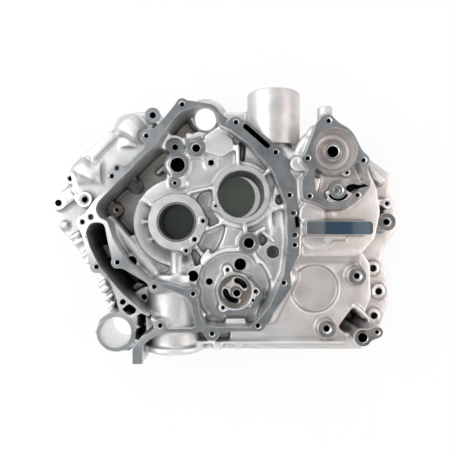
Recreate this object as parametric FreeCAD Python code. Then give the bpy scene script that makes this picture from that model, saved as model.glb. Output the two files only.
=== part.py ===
import FreeCAD, Part
import math
import os
from FreeCAD import Vector

# Heights above the crank bearing face, in mm (the cover face looks to +Z)
COVER_Z = 8.0
FACE_Z = 0.0
SPLIT_Z = -80.0
PLATEAU_Z = -11.0
TROUGH_Z = -20.0
DEEP_Z = -44.0
SHELF_Z = -27.0
TUNNEL_Z = -62.0
FLANK_Z = -22.0
SKIRT_Z = -57.0
GEAR_HIGH_Z = 1.0
GEAR_LOW_Z = -12.0
PUMP_FACE_Z = 23.0
SKIN = 7.0
LEFT_X = -158.0
RIGHT_X = 266.0
BOSS_SIDES = 12
SHARP_HALF = math.radians(80)

# Main bearing of the crank, with its pressed bush
CRANK_BORE_R = 22.0
BUSH_WALL = 2.0
BUSH_H = 18.0
BUSH_STEP = 1.0
BUSH_GAP = 0.02
ANNULUS_R = 32.0
CRANK_HUB_WALL = 8.0
CRANK_HUB_INSET = 14.0
DRUM_R = 50.5
DRUM_WALL = 3.5
TROUGH_WIDE_R = 55.0
TROUGH_START, TROUGH_WIDENS, TROUGH_STOPS = 150.0, 285.0, 412.0

# Second bearing bore, for the gearbox shaft
BIG_X, BIG_Y = 72.2, 31.3
BIG_BORE_R = 26.3
BIG_RING_R = 32.4
BIG_HUB_INSET = 16.0
SIDE_R = 62.0
SIDE_TURN = (-42.0, 94.0)

# Cover screws and dowels
SCREW_R = 2.5
SCREW_DEPTH = 15.0
SCREW_BOSS_R = 7.0
DOWEL_R = 2.8
DOWEL_DEPTH = 7.0
DOWEL_BOSS_R = 5.5
COVER_SCREWS = [(7, 129.7), (-32.6, 95.1), (-70.6, 50.5), (-103, 0), (-87.6, -49.6),
                (-64.5, -44.7), (-57.9, -88.1), (-23.8, -71.6), (19.1, -79.3),
                (-17.2, -114.5), (40, -123.3), (90.6, -114.5), (119.2, -67.2),
                (131.3, -25.4), (125.8, 29.6), (110.4, 76.9), (66.4, 109.9)]
DOWELS = [(-65.1, 59.3), (-93.7, 5.4), (131.3, -14.4), (129.7, 9.8)]

# Rounded outlines, each point as x, y and corner radius
TOWER = [(-109, -3, 8), (-90, 24, 20), (-34, 82, 6), (-37, 101, 6), (-24, 103, 10),
         (-12, 116, 12), (0, 131, 8), (16, 134, 20), (42, 130, 16), (56, 114, 14),
         (78, 112, 12), (118, 79, 8), (119, 69, 4), (137, 63, 8), (141, 30, 40),
         (138, -36, 10), (128, -52, 8), (127, -70, 12), (106, -99, 14), (97, -121, 10),
         (-17, -122, 8), (-36, -135, 6), (-36, -157, 0), (-48, -157, 0), (-48, -139, 6), (-38, -127, 4),
         (-20, -117, 0), (-36, -101, 0), (-50, -106, 6), (-62, -99, 6), (-65, -86, 12), (-73, -66, 6),
         (-84, -56, 8), (-96, -44, 12), (-103, -16, 10)]
POCKET = [(-85, 22, 5), (-28, 80, 3), (-20, 86, 5), (-14, 98, 8), (5, 122, 22),
          (30, 128, 14), (45, 117, 5), (48, 107, 6), (62, 100, 8), (82, 84, 18),
          (106, 58, 22), (121, 20, 36), (123, -22, 36), (119, -58, 20), (104, -92, 20),
          (84, -116, 8), (34, -116, 4), (27, -106, 8), (24, -86, 6), (13, -75, 8),
          (-8, -68, 8), (-30, -65, 8), (-54, -44, 10), (-69, -18, 14), (-75, 1, 5),
          (-84, 5, 5), (-88, 14, 5)]
TUNNEL = [(-94, -1, 7), (-79, -1, 6), (-75, -22, 12), (-69, -48, 5), (-56, -53, 8),
          (-31, -68, 6), (-17, -77, 6), (-3, -76, 10), (12, -83, 8), (17, -90, 6),
          (22, -117, 3), (-10, -117, 4), (-37, -98, 6), (-60, -77, 10), (-72, -63, 6),
          (-84, -48, 14), (-94, -28, 20), (-99, -12, 8)]
DEEP_ZONE = [(-100, 0, 0), (-20, 135, 0), (48, 132, 0), (47, 111, 0), (28, 106, 0),
             (13, 100, 0), (8, 80, 0), (-8, 78, 0), (-14, 68, 0), (-12, 44, 0), (-20, 0, 0),
             (0, -30, 0), (-10, -56, 0), (-32, -72, 0)]
TUNNEL_ZONE = [(-110, 10, 0), (-60, 10, 0), (-30, -50, 0), (-31, -74, 0), (-44, -77, 0),
               (-62, -90, 0), (-110, -60, 0)]
FLANK = [(-39, 88, 0), (-100, 22, 0), (-112, 28, 0), (-124, 38, 0), (-127, 58, 0),
         (-118, 72, 0), (-104, 78, 0), (-77, 106, 0), (-72, 122, 0), (-48, 126, 0), (-30, 112, 0)]
SKIRT = [(LEFT_X, 18, 0), (LEFT_X + 1, -4, 0), (-138, -22, 0), (-112, -58, 0), (-101, -78, 0),
         (-86, -106, 0), (-70, -112, 0), (-20, -60, 0), (20, 110, 0), (-23, 128, 0),
         (-36, 139, 0), (-58, 138, 0), (-76, 134, 0), (-86, 117, 0), (-131, 79, 0),
         (-146, 54, 0), (-151, 36, 0)]
GEAR_HIGH = [(130, 74, 0), (130, -38, 0), (205, -38, 12), (222, -18, 12), (228, 12, 20),
             (224, 38, 16), (214, 60, 10), (200, 72, 8)]
GEAR_LOW = [(120, -30, 0), (209, -30, 0), (221, -48, 0), (222, -86, 0), (212, -112, 0),
            (192, -143, 0), (60, -143, 0), (60, -118, 0)]
FLANGE = [(120, 72, 0), (226, 84, 0), (258, 60, 0), (257, 36, 0), (RIGHT_X, 20, 0), (RIGHT_X, -8, 0),
          (250, -34, 0), (247, -46, 0), (255, -66, 0), (256, -101, 0), (246, -128, 0),
          (222, -157, 0), (90, -157, 0), (-30, -146, 0), (-30, -118, 0), (120, -60, 0)]
PUMP_OUTER = [(146, 98, 10), (158, 113, 8), (166, 116, 6), (176, 106, 8), (190, 98, 24),
              (201, 76, 20), (210, 68, 7), (206, 55, 8), (211, 40, 8), (203, 28, 8),
              (188, 15, 18), (166, 13, 18), (148, 21, 8), (137, 24, 6), (136, 44, 6),
              (144, 57, 6), (134, 66, 5), (140, 76, 6)]
PUMP_LOBE = [(150, 66, 0), (160, 54, 0), (182, 58, 0), (196, 68, 0), (206, 44, 0),
             (198, 34, 0), (186, 22, 0), (168, 20, 0), (152, 30, 0), (150, 44, 0)]

# Round bosses inside the main pocket: x, y, radius, top z, hole radius, hole depth
POCKET_BOSSES = [(0.2, 65.1, 13.8, -7, 8.3, 32), (-4.2, 87.9, 8.8, -22, 3.3, 14),
                 (21.6, 83.5, 10.7, -4, 4.5, 18), (38.3, 68.0, 6.9, -10, 3.4, 20),
                 (-3.0, 44.6, 6.9, -9, 0, 0), (-76.7, 14.8, 7.8, -38, 0, 0),
                 (-53.1, 43.2, 7.8, -33, 0, 0), (-58.8, -46.0, 8.5, -36, 6.0, 20),
                 (80.9, -23.4, 11.6, 4, 5.8, 30), (29.8, 1.1, 5.5, 2, 0, 0),
                 (20.3, -19.5, 5.5, 2, 0, 0), (10.8, -32.3, 5.5, 2, 0, 0),
                 (-22.0, 17.8, 6.1, 2, 0, 0), (44.0, 17.7, 6.0, 1, 0, 0)]
FLOOR_HOLES = [(17.6, -61.8, 6.2, 34), (35.9, -69.3, 3.9, 24), (72.0, -49.2, 6.9, 28),
               (109.1, -34.2, 7.4, 10), (-41.4, -88.4, 3.5, 24)]

# Oil pump seat in the pocket floor
OIL_X, OIL_Y = 65.6, -78.9
OIL_R = 19.2
BASIN_X, BASIN_Y, BASIN_R = 63.6, -75.9, 43.0
RIDGE_R, RIDGE_THICK, RIDGE_TURN = 46.5, 4.0, (15.0, 142.0)
OIL_WALL = 2.6
OIL_RIM_Z = -5.0
OIL_FLOOR_Z = -20.0
OIL_PORT_Z = -38.0
OIL_SHAFT_R = 4.1
OIL_SHAFT_X, OIL_SHAFT_Y = 68.0, -82.9
PORT_IN_R = 8.5
PORT_OUT_R = 15.0
PORT_HIGH = (10.0, 100.0)
PORT_LOW = (168.0, 290.0)
OIL_EARS = [(57.1, -54.1), (88.7, -78.9), (52.0, -97.0)]
OIL_EAR_R = 5.8

# Bosses outside the cover face: x, y, radius, top z, foot z, hole radius, hole depth
OUTER_BOSSES = [(-29.7, 124.0, 9.3, -17, -58, 3.7, 90), (LEFT_X + 6.5, 24.0, 8.7, -50, -80, 4.1, 90),
                (-134.3, 53.3, 6.6, -42, -57, 0, 0), (-107.4, 25.9, 9.2, -12, -58, 3.4, 26),
                (243.7, 0.2, 10.5, -22, -57, 3.7, 24), (247.4, 22.3, 6.0, -30, -57, 0, 0),
                (202.5, -60.7, 10.1, 0, -40, 3.4, 24), (168.8, -120.2, 10.1, -2, -60, 3.6, 24),
                (134.3, 63.6, 8.7, 16, -10, 0, 0), (149.0, 8.6, 13.6, 13, -10, 0, 0),
                (156.6, -5.6, 23.3, 3, -10, 0, 0)]
FLANGE_HOLES = [(236.3, -56.5), (243.1, -85.0), (237.5, -114.8)]
FLANGE_HOLE_R = 4.2
FLANGE_TOP_Z = -52.0

# Horizontal tubes: the turned spigot to +Y and the cylinder mouth to -Y
SPIGOT_X, SPIGOT_Z, SPIGOT_R, SPIGOT_END = 111.0, -24.0, 30.5, 149.0
SPIGOT_BORE_R = 24.0
SPIGOT_BORE_L = 34.0
THROAT_R = 21.5
THROAT_CONE_L = 22.0
THROAT_FROM_Y = 78.0
THROAT_BORE_R = 15.0
THROAT_BORE_L = 20.0
MOUTH_X, MOUTH_Z, MOUTH_R, DECK_Y = -4.0, -29.0, 31.0, -148.0
MOUTH_BORE_R = 24.0
MOUTH_TOP_Y = -74.0
MOUTH_END_Y = -62.0
MOUTH_FLANGE_R = 36.0
MOUTH_THROAT = (36.0, 26.0, 24.0)
DECK_THICK = 7.0
DECK_LONG, DECK_WALL_LONG, DECK_HIGH, DECK_FOOT_Z = 80.0, 62.0, 44.0, -66.0

# Water pump seat
PUMP_X, PUMP_Y = 171.8, 76.5
PUMP_R = 23.4
PUMP_WALL = 5.4
PUMP_FLOOR_Z = 6.0
PUMP_BOWL_R, PUMP_BOWL_Z = 19.0, 15.5
PUMP_LEDGE = 1.0
PUMP_BORE_R = 6.2
PUMP_BORE_L = 30.0
PUMP_CONE_R, PUMP_CONE_Z = 9.5, 14.0
PUMP_SCREWS = [(165.1, 107.9), (142.8, 67.9), (202.4, 65.8), (196.0, 28.5), (144.9, 27.5)]
PUMP_SCREW_R = 2.3
PUMP_SCREW_DEPTH = 9.0
SEAL_X, SEAL_Y, SEAL_R, SEAL_BORE_R = 177.3, 34.7, 8.7, 4.9
SEAL_TOP_Z = 13.0
SEAL_DEPTH = 16.0
PUMP_PEG_X, PUMP_PEG_Y, PUMP_PEG_R, PUMP_PEG_Z = 186.6, 53.7, 4.5, 14.0
PUMP_SLOT = (192.0, 43.0, 204.0, 44.0)
PUMP_SLOT_HALF = 3.6

# Other outside features
RING_X, RING_Y, RING_BORE_R, RING_R = -73.2, -128.5, 17.5, 23.4
RING_TOP_Z = -22.0
TUBE_X, TUBE_Y, TUBE_BORE_R, TUBE_R, TUBE_FLANGE_R = 30.0, 127.0, 13.6, 20.0, 28.0
TUBE_LEAN = 13.0
TUBE_SKIN = 4.0
BAR = (140.0, -14.0, 71.0, 15.0)
BAR_TOP_Z = 28.0
ARM_HOLE, ARM_TIP = (204.5, -126.4), (220.3, -120.4)
ARM_Z = 13.0
ARM_R, ARM_BORE_R, ARM_BORE_L = 9.8, 5.2, 40.0
ARM_TIP_R, ARM_TIP_BORE_R, ARM_TIP_BORE_L = 6.5, 2.2, 20.0
DISC_X, DISC_Y, DISC_R, DISC_Z = 157.3, -76.3, 27.8, -17.0
NIPPLE_X, NIPPLE_Z, NIPPLE_R, NIPPLE_BORE_R, NIPPLE_END = 164.0, 8.0, 8.2, 4.6, 126.0
NIPPLE_BORE_L = 14.0

# Domed corners and bar of the upper left flank, as level round bars
DOME_TOP = (-58.0, 88.0, 122.0, 17.0)
DOME_LOW = (58.0, -90.0, -117.0, 19.0)
DOME_DROP = 12.0
FLANK_BAR = (-103.0, 76.0, -76.0, 103.0, 10.0)
FLANK_BAR_RISE = 4.0

# Foot flange and web of the lower left ring
RING_FOOT = [(-108, -132, 3), (-96, -118, 4), (-60, -104, 0), (-46, -130, 0), (-58, -152, 8),
             (-73, -158, 10), (-92, -150, 6)]
RING_WEB = [(-70, -90, 4), (-44, -100, 4), (-40, -128, 4), (-66, -112, 4)]

# Oil galleries cast as round bars: start, end, radius
GALLERY = ((-0.8, -28, -13), (-0.8, -71, -11), 7.5)
DIAGONAL = ((-81.5, 4.8, -18), (-17.7, -68.3, -18), 5.8)
DIAGONAL_WEB = 8.0

# Windows and slots that pass into the casting
ARM_WINDOW = [(201, -98, 0), (216, -116, 0), (197, -130, 0), (184, -121, 0)]
DIAMOND_WINDOW = [(-59, -96, 0), (-51, -90, 0), (-42, -97, 0), (-51, -103, 0)]
LEG_WINDOW = [(-47, -108, 0), (-38, -100, 0), (-22, -115, 0), (-24, -119, 0), (-39, -127, 0), (-48, -120, 0)]
WINDOW_Z = -58.0
RIM_SLOT = (77.0, 105.0, 101.0, 84.0)
RIM_SLOT_HALF = 2.9
RIM_SLOT_Z = -40.0
D_SLOT = (133.0, 4.0, 134.0, -4.0)
D_SLOT_HALF = 2.2

# Plan zones that set the depths of the pockets, and the ribs in them
CELL_ZONE = [(-34, -60, 0), (40, -60, 0), (40, -125, 0), (-20, -125, 0), (-34, -104, 0)]
TRAY = [(30, -107, 0), (98, -107, 0), (88, -116, 0), (34, -116, 0)]
TRAY_Z = -37.0
LEDGE, LEDGE_AT = (23.0, 8.0, 40.0), (55.0, -118.0, -48.0)
DOME = [(31, 98, 0), (44, 107, 0), (63, 93, 0), (65, 82, 0), (51, 74, 0), (33, 79, 0)]
RIBS = [(-30, 0.5, -49, 0.5, 3, -13), (-28, -18, -42, -26, 3, -15), (-25, 15, -41, 27, 3, -9),
        (20, -27, 33, -45, 4, -12), (33, -9, 55, 1, 3, -6), (68.8, 60, 68.8, 84, 4, -3),
        (97, 52, 106, 60, 4, -3), (104, 20, 122, 16, 4, -6), (86, -14, 100, -6, 4, -2),
        (85, -30, 92, -47, 4, -4), (78, -16, 76, -1, 5, -3), (8, 72, 18, 80, 6, -9),
        (12, 33, 42, 40, 3, -5)]
UNDER_MAIN = [(-78, 16, 0), (-28, 70, 0), (2, 104, 0), (52, 98, 0), (88, 72, 0), (112, 30, 0),
              (115, -22, 0), (108, -62, 0), (82, -108, 0), (34, -108, 0), (26, -66, 0), (-30, -58, 0),
              (-64, -16, 0)]
UNDER_HIGH = [(16, 58, 0), (10, 100, 0), (46, 98, 0), (58, 88, 0), (46, 62, 0)]
UNDER_LOW = [(44, -12, 0), (64, -8, 0), (64, -36, 0), (44, -52, 0)]
UNDER_FLANK = [(-97, 35, 0), (-112, 44, 0), (-114, 62, 0), (-80, 96, 0), (-66, 114, 0), (-46, 116, 0),
               (-46, 90, 0)]
UNDER_GEAR_HIGH = [(149, 58, 0), (149, -34, 0), (204, -34, 0), (218, -8, 0), (212, 40, 0), (196, 58, 0)]
UNDER_GEAR_LOW = [(138, -60, 0), (148, -34, 0), (192, -34, 0), (192, -76, 0), (212, -76, 0),
                  (200, -104, 0), (182, -108, 0), (158, -108, 0), (152, -134, 0), (114, -134, 0),
                  (112, -112, 0)]


# Closed wire through rounded corners
def rounded_wire(points, z):
    corners = [(Vector(p[0], p[1], z), p[2]) for p in points]
    count = len(corners)
    trimmed = []
    for i in range(count):
        here, radius = corners[i]
        back = corners[i - 1][0].sub(here)
        ahead = corners[(i + 1) % count][0].sub(here)
        half = back.getAngle(ahead) / 2
        if radius <= 0 or half > SHARP_HALF:
            trimmed.append((here, None, here))
            continue
        run = min(radius / math.tan(half), 0.45 * back.Length, 0.45 * ahead.Length)
        radius = run * math.tan(half)
        start = here.add(Vector(back).normalize().multiply(run))
        end = here.add(Vector(ahead).normalize().multiply(run))
        middle = Vector(back).normalize().add(Vector(ahead).normalize()).normalize()
        apex = here.add(middle.multiply(radius / math.sin(half) - radius))
        trimmed.append((start, apex, end))
    edges = []
    for i in range(count):
        start, apex, end = trimmed[i]
        if apex is not None:
            edges.append(Part.Arc(start, apex, end).toShape())
        following = trimmed[(i + 1) % count][0]
        if end.distanceToPoint(following) > 0.01:
            edges.append(Part.makeLine(end, following))
    return Part.Wire(edges)


# Upright slab from a rounded outline
def slab(points, low, high):
    return Part.Face(rounded_wire(points, low)).extrude(Vector(0, 0, high - low))


# Upright round post
def post(x, y, radius, low, high):
    return Part.makeCylinder(radius, high - low, Vector(x, y, low))


# Upright cast boss, with few sides to stay within the facet limit; its bore is round
def boss(x, y, radius, low, high):
    reach = radius / math.cos(math.pi / BOSS_SIDES) ** 0.5
    turns = [2 * math.pi * (i + 0.5) / BOSS_SIDES for i in range(BOSS_SIDES)]
    return slab([(x + reach * math.cos(t), y + reach * math.sin(t), 0) for t in turns], low, high)


# Upright cone from one radius to another
def cone(x, y, low_r, high_r, low, high):
    return Part.makeCone(low_r, high_r, high - low, Vector(x, y, low))


# Round bar between two points of space
def tube(start, end, radius):
    a, b = Vector(*start), Vector(*end)
    return Part.makeCylinder(radius, a.distanceToPoint(b), a, b.sub(a))


# Straight wall between two plan points
def wall(ax, ay, bx, by, thick, low, high):
    length = math.hypot(bx - ax, by - ay)
    box = Part.makeBox(length, thick, high - low, Vector(0, -thick / 2, low))
    box.rotate(Vector(0, 0, 0), Vector(0, 0, 1), math.degrees(math.atan2(by - ay, bx - ax)))
    box.translate(Vector(ax, ay, 0))
    return box


# Slot with round ends between two plan points
def slot(ax, ay, bx, by, half, low, high):
    return post(ax, ay, half, low, high).fuse([post(bx, by, half, low, high),
                                               wall(ax, ay, bx, by, 2 * half, low, high)])


# Part of a round slab between two angles in degrees
def sector(x, y, radius, start, end, low, high):
    pie = Part.makeCylinder(radius, high - low, Vector(0, 0, low), Vector(0, 0, 1), end - start)
    pie.rotate(Vector(0, 0, 0), Vector(0, 0, 1), start)
    pie.translate(Vector(x, y, 0))
    return pie


# One solid from many
def join(shapes):
    return shapes[0].multiFuse(shapes[1:])


# Outer bodies, from the cover face down to the split face
def outer_bodies():
    base = [slab(TOWER, SPLIT_Z, COVER_Z),
            slab(FLANK, SPLIT_Z, FLANK_Z),
            slab(SKIRT, SPLIT_Z, SKIRT_Z),
            slab(GEAR_HIGH, SPLIT_Z, GEAR_HIGH_Z),
            slab(GEAR_LOW, SPLIT_Z, GEAR_LOW_Z),
            slab(FLANGE, SPLIT_Z, FLANGE_TOP_Z),
            slab(PUMP_OUTER, SPLIT_Z + 21, PUMP_FACE_Z)]
    for x, y in COVER_SCREWS:
        base.append(boss(x, y, SCREW_BOSS_R, SPLIT_Z + 10, COVER_Z))
    x, y = DOWELS[0]
    base.append(boss(x, y, DOWEL_BOSS_R, GEAR_LOW_Z, COVER_Z))
    for x, y, radius, top, foot, hole, depth in OUTER_BOSSES:
        base.append(boss(x, y, radius, foot, top))
    return base


# Domed corners and the bar on the upper left flank
def flank_domes():
    z = FLANK_Z - DOME_DROP
    x, start, end, radius = DOME_TOP
    bodies = [tube((x, start, z), (x, end, z), radius)]
    y, start, end, radius = DOME_LOW
    bodies.append(tube((start, y, z), (end, y, z), radius))
    return bodies + [wall(*FLANK_BAR, SPLIT_Z, FLANK_Z + FLANK_BAR_RISE)]


# Lower left ring and its foot flange
def corner_ring():
    return [post(RING_X, RING_Y, RING_R, SPLIT_Z, RING_TOP_Z),
            slab(RING_FOOT, SPLIT_Z, SKIRT_Z),
            slab(RING_WEB, SPLIT_Z, RING_TOP_Z)]


# Turned spigot to +Y, with the throat that joins it to the gearbox
def spigot():
    back = SPIGOT_END - SPIGOT_BORE_L
    foot = Vector(SPIGOT_X, back - THROAT_CONE_L, SPIGOT_Z)
    throat = Part.makeCone(THROAT_R, SPIGOT_R, THROAT_CONE_L, foot, Vector(0, 1, 0))
    root = tube((SPIGOT_X, THROAT_FROM_Y, SPIGOT_Z), (SPIGOT_X, foot.y + 2, SPIGOT_Z), THROAT_R)
    return [tube((SPIGOT_X, back, SPIGOT_Z), (SPIGOT_X, SPIGOT_END, SPIGOT_Z), SPIGOT_R), throat, root]


# Cylinder mouth to -Y, with its deck flange
def cylinder_mouth():
    deck = DECK_Y + DECK_THICK
    return [tube((MOUTH_X, MOUTH_TOP_Y, MOUTH_Z), (MOUTH_X, deck, MOUTH_Z), MOUTH_R),
            tube((MOUTH_X, deck, MOUTH_Z), (MOUTH_X, DECK_Y, MOUTH_Z), MOUTH_FLANGE_R),
            Part.makeBox(DECK_LONG, DECK_THICK, DECK_HIGH, Vector(MOUTH_X + 20, DECK_Y, DECK_FOOT_Z)),
            Part.makeBox(DECK_WALL_LONG, 30, DECK_HIGH, Vector(MOUTH_X + 24, DECK_Y + 4, DECK_FOOT_Z))]


# Upper see-through tube beside the main pocket
def upper_tube():
    lean = (TUBE_X, TUBE_Y - TUBE_LEAN, COVER_Z - 6)
    return [post(TUBE_X, TUBE_Y, TUBE_FLANGE_R, SPLIT_Z, SKIRT_Z),
            tube((TUBE_X, TUBE_Y, SKIRT_Z - 6), lean, TUBE_BORE_R + TUBE_SKIN)]


# Mount bar, hose nipple and the two-hole arm on the right
def right_side():
    x, y, length, width = BAR
    plan = [(x, y, 3), (x, y + width, 3), (x + length, y + width, 4), (x + length, y, 4)]
    ax, ay = ARM_HOLE
    bx, by = ARM_TIP
    return [slab(plan, GEAR_HIGH_Z - 2, BAR_TOP_Z),
            tube((NIPPLE_X, 96, NIPPLE_Z), (NIPPLE_X, NIPPLE_END, NIPPLE_Z), NIPPLE_R),
            boss(ax, ay, ARM_R, SPLIT_Z + 10, ARM_Z), boss(bx, by, ARM_TIP_R, SPLIT_Z + 30, ARM_Z),
            wall(ax, ay, bx, by, 2 * ARM_TIP_R, GEAR_LOW_Z + 2, ARM_Z)]


# Round bodies that stand free inside the pockets, so no pocket cuts them
def kept_bodies():
    return [post(0, 0, DRUM_R, SPLIT_Z, PLATEAU_Z),
            post(BIG_X, BIG_Y, BIG_RING_R + 6, SPLIT_Z, PLATEAU_Z)] + cylinder_mouth()[:1]


# Main pocket, chain tunnel and cylinder cell, cut from the cover face
def big_cuts():
    deep = slab(POCKET, DEEP_Z, PLATEAU_Z + 1).common(slab(DEEP_ZONE, DEEP_Z, PLATEAU_Z + 1))
    side = slab(POCKET, SHELF_Z, PLATEAU_Z + 1).common(
        sector(BIG_X, BIG_Y, SIDE_R, *SIDE_TURN, SHELF_Z, PLATEAU_Z + 1))
    tunnel = slab(TUNNEL, TUNNEL_Z, SHELF_Z + 1).common(slab(TUNNEL_ZONE, TUNNEL_Z, SHELF_Z + 1))
    cell = slab(TUNNEL, DEEP_Z, SHELF_Z + 1).common(slab(CELL_ZONE, DEEP_Z, SHELF_Z + 1))
    basin = slab(POCKET, TROUGH_Z, PLATEAU_Z + 1).common(
        post(BASIN_X, BASIN_Y, BASIN_R, TROUGH_Z, PLATEAU_Z + 1))
    tray = slab(TRAY, TRAY_Z, PLATEAU_Z + 1)
    cuts = [slab(POCKET, PLATEAU_Z, COVER_Z + 1), slab(TUNNEL, SHELF_Z, COVER_Z + 1),
            deep, side, tunnel, cell, basin, tray]
    return join(cuts).cut(kept_bodies())


# Ring trough around the crank bearing, narrow on the left and wide on the right
def trough():
    left = sector(0, 0, DRUM_R - DRUM_WALL, TROUGH_START, TROUGH_WIDENS, TROUGH_Z, FACE_Z + 1)
    right = sector(0, 0, TROUGH_WIDE_R, TROUGH_WIDENS, TROUGH_STOPS, TROUGH_Z, FACE_Z + 1)
    return left.fuse(right).cut([post(0, 0, ANNULUS_R, TROUGH_Z, COVER_Z),
                                 post(BIG_X, BIG_Y, BIG_RING_R, TROUGH_Z, COVER_Z)])


# Hollows under the floors, opened from the split face
def under_cuts():
    main = slab(UNDER_MAIN, SPLIT_Z - 1, DEEP_Z - SKIN)
    crank = post(0, 0, DRUM_R - SKIN + 1, SPLIT_Z - 1, TROUGH_Z - SKIN)
    high = slab(UNDER_HIGH, DEEP_Z - SKIN - 1, PLATEAU_Z - SKIN)
    low = slab(UNDER_LOW, DEEP_Z - SKIN - 1, TROUGH_Z - SKIN)
    gear_high = slab(UNDER_GEAR_HIGH, SPLIT_Z - 1, GEAR_HIGH_Z - SKIN)
    gear_low = slab(UNDER_GEAR_LOW, SPLIT_Z - 1, DISC_Z - SKIN)
    flank = slab(UNDER_FLANK, SPLIT_Z - 1, FLANK_Z - SKIN)
    solid = [post(0, 0, CRANK_BORE_R + CRANK_HUB_WALL, SPLIT_Z + CRANK_HUB_INSET, FACE_Z),
             post(BIG_X, BIG_Y, BIG_RING_R, SPLIT_Z + BIG_HUB_INSET, FACE_Z)]
    left = MOUTH_X - MOUTH_THROAT[0] / 2
    throat = Part.makeBox(*MOUTH_THROAT, Vector(left, MOUTH_END_Y, DEEP_Z - SKIN - 2))
    return join([main, crank, high, low, gear_high, gear_low, flank]).cut(solid).fuse(throat)


# Bosses and ribs inside the pockets
def inner_bodies():
    bodies = [post(0, 0, ANNULUS_R, TROUGH_Z - 1, FACE_Z),
              post(BIG_X, BIG_Y, BIG_RING_R, DEEP_Z - 2, FACE_Z),
              slab(DOME, PLATEAU_Z - 1, PLATEAU_Z + 6),
              post(OIL_X, OIL_Y, OIL_R + OIL_WALL, TRAY_Z - 2, OIL_RIM_Z),
              post(TUBE_X, TUBE_Y, TUBE_R, DEEP_Z - 2, SHELF_Z - 5),
              Part.makeBox(*LEDGE, Vector(*LEDGE_AT)),
              tube(*GALLERY), tube(*DIAGONAL),
              wall(*DIAGONAL[0][:2], *DIAGONAL[1][:2], DIAGONAL_WEB, DEEP_Z - 2, DIAGONAL[0][2])]
    for x, y in OIL_EARS:
        bodies.append(boss(x, y, OIL_EAR_R, TROUGH_Z - 4, OIL_RIM_Z))
    for x, y, radius, top, hole, depth in POCKET_BOSSES:
        bodies.append(boss(x, y, radius, min(top, DEEP_Z) - 2, top))
    for x, y in COVER_SCREWS[5:6] + COVER_SCREWS[7:9]:
        bodies.append(boss(x, y, SCREW_BOSS_R, TUNNEL_Z - 2, COVER_Z))
    for ax, ay, bx, by, thick, top in RIBS:
        bodies.append(wall(ax, ay, bx, by, thick, DEEP_Z - 2, top))
    ridge = sector(BASIN_X, BASIN_Y, RIDGE_R, *RIDGE_TURN, TROUGH_Z - 1, PLATEAU_Z + 4)
    bodies.append(ridge.cut(post(BASIN_X, BASIN_Y, RIDGE_R - RIDGE_THICK, TROUGH_Z - 2, COVER_Z)))
    return bodies


# Seats that stand in the water pump chamber
def pump_seats():
    return [cone(PUMP_X, PUMP_Y, PUMP_CONE_R + 3.5, PUMP_CONE_R, PUMP_FLOOR_Z - 1, PUMP_CONE_Z),
            post(SEAL_X, SEAL_Y, SEAL_R, GEAR_HIGH_Z, SEAL_TOP_Z),
            boss(PUMP_PEG_X, PUMP_PEG_Y, PUMP_PEG_R, GEAR_HIGH_Z, PUMP_PEG_Z)]


# Blind round hole from a top face
def hole(x, y, radius, top, depth):
    return post(x, y, radius, top - depth, top + 1)


# Bores, screw holes, ports and windows
def holes():
    cuts = [hole(x, y, SCREW_R, COVER_Z, SCREW_DEPTH) for x, y in COVER_SCREWS]
    cuts += [hole(x, y, DOWEL_R, COVER_Z, DOWEL_DEPTH) for x, y in DOWELS]
    cuts += [hole(x, y, r, top, depth) for x, y, size, top, r, depth in POCKET_BOSSES if r > 0]
    cuts += [hole(x, y, r, floor_at(x, y), depth) for x, y, r, depth in FLOOR_HOLES]
    cuts += [hole(x, y, r, top, depth) for x, y, size, top, foot, r, depth in OUTER_BOSSES if r > 0]
    cuts += [post(x, y, FLANGE_HOLE_R, SPLIT_Z - 1, FLANGE_TOP_Z + 1) for x, y in FLANGE_HOLES]
    cuts += [hole(x, y, PUMP_SCREW_R, PUMP_FACE_Z, PUMP_SCREW_DEPTH) for x, y in PUMP_SCREWS]
    cuts += [post(0, 0, CRANK_BORE_R, FACE_Z - BUSH_H, COVER_Z),
             post(0, 0, CRANK_BORE_R - BUSH_STEP, SPLIT_Z, FACE_Z),
             post(BIG_X, BIG_Y, BIG_BORE_R, SPLIT_Z, COVER_Z),
             post(RING_X, RING_Y, RING_BORE_R, SPLIT_Z - 1, RING_TOP_Z)]
    return cuts


# Height of the pocket floor under a floor hole
def floor_at(x, y):
    if math.hypot(x - BASIN_X, y - BASIN_Y) < BASIN_R:
        return TROUGH_Z
    return SHELF_Z if x < -30 else PLATEAU_Z


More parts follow.
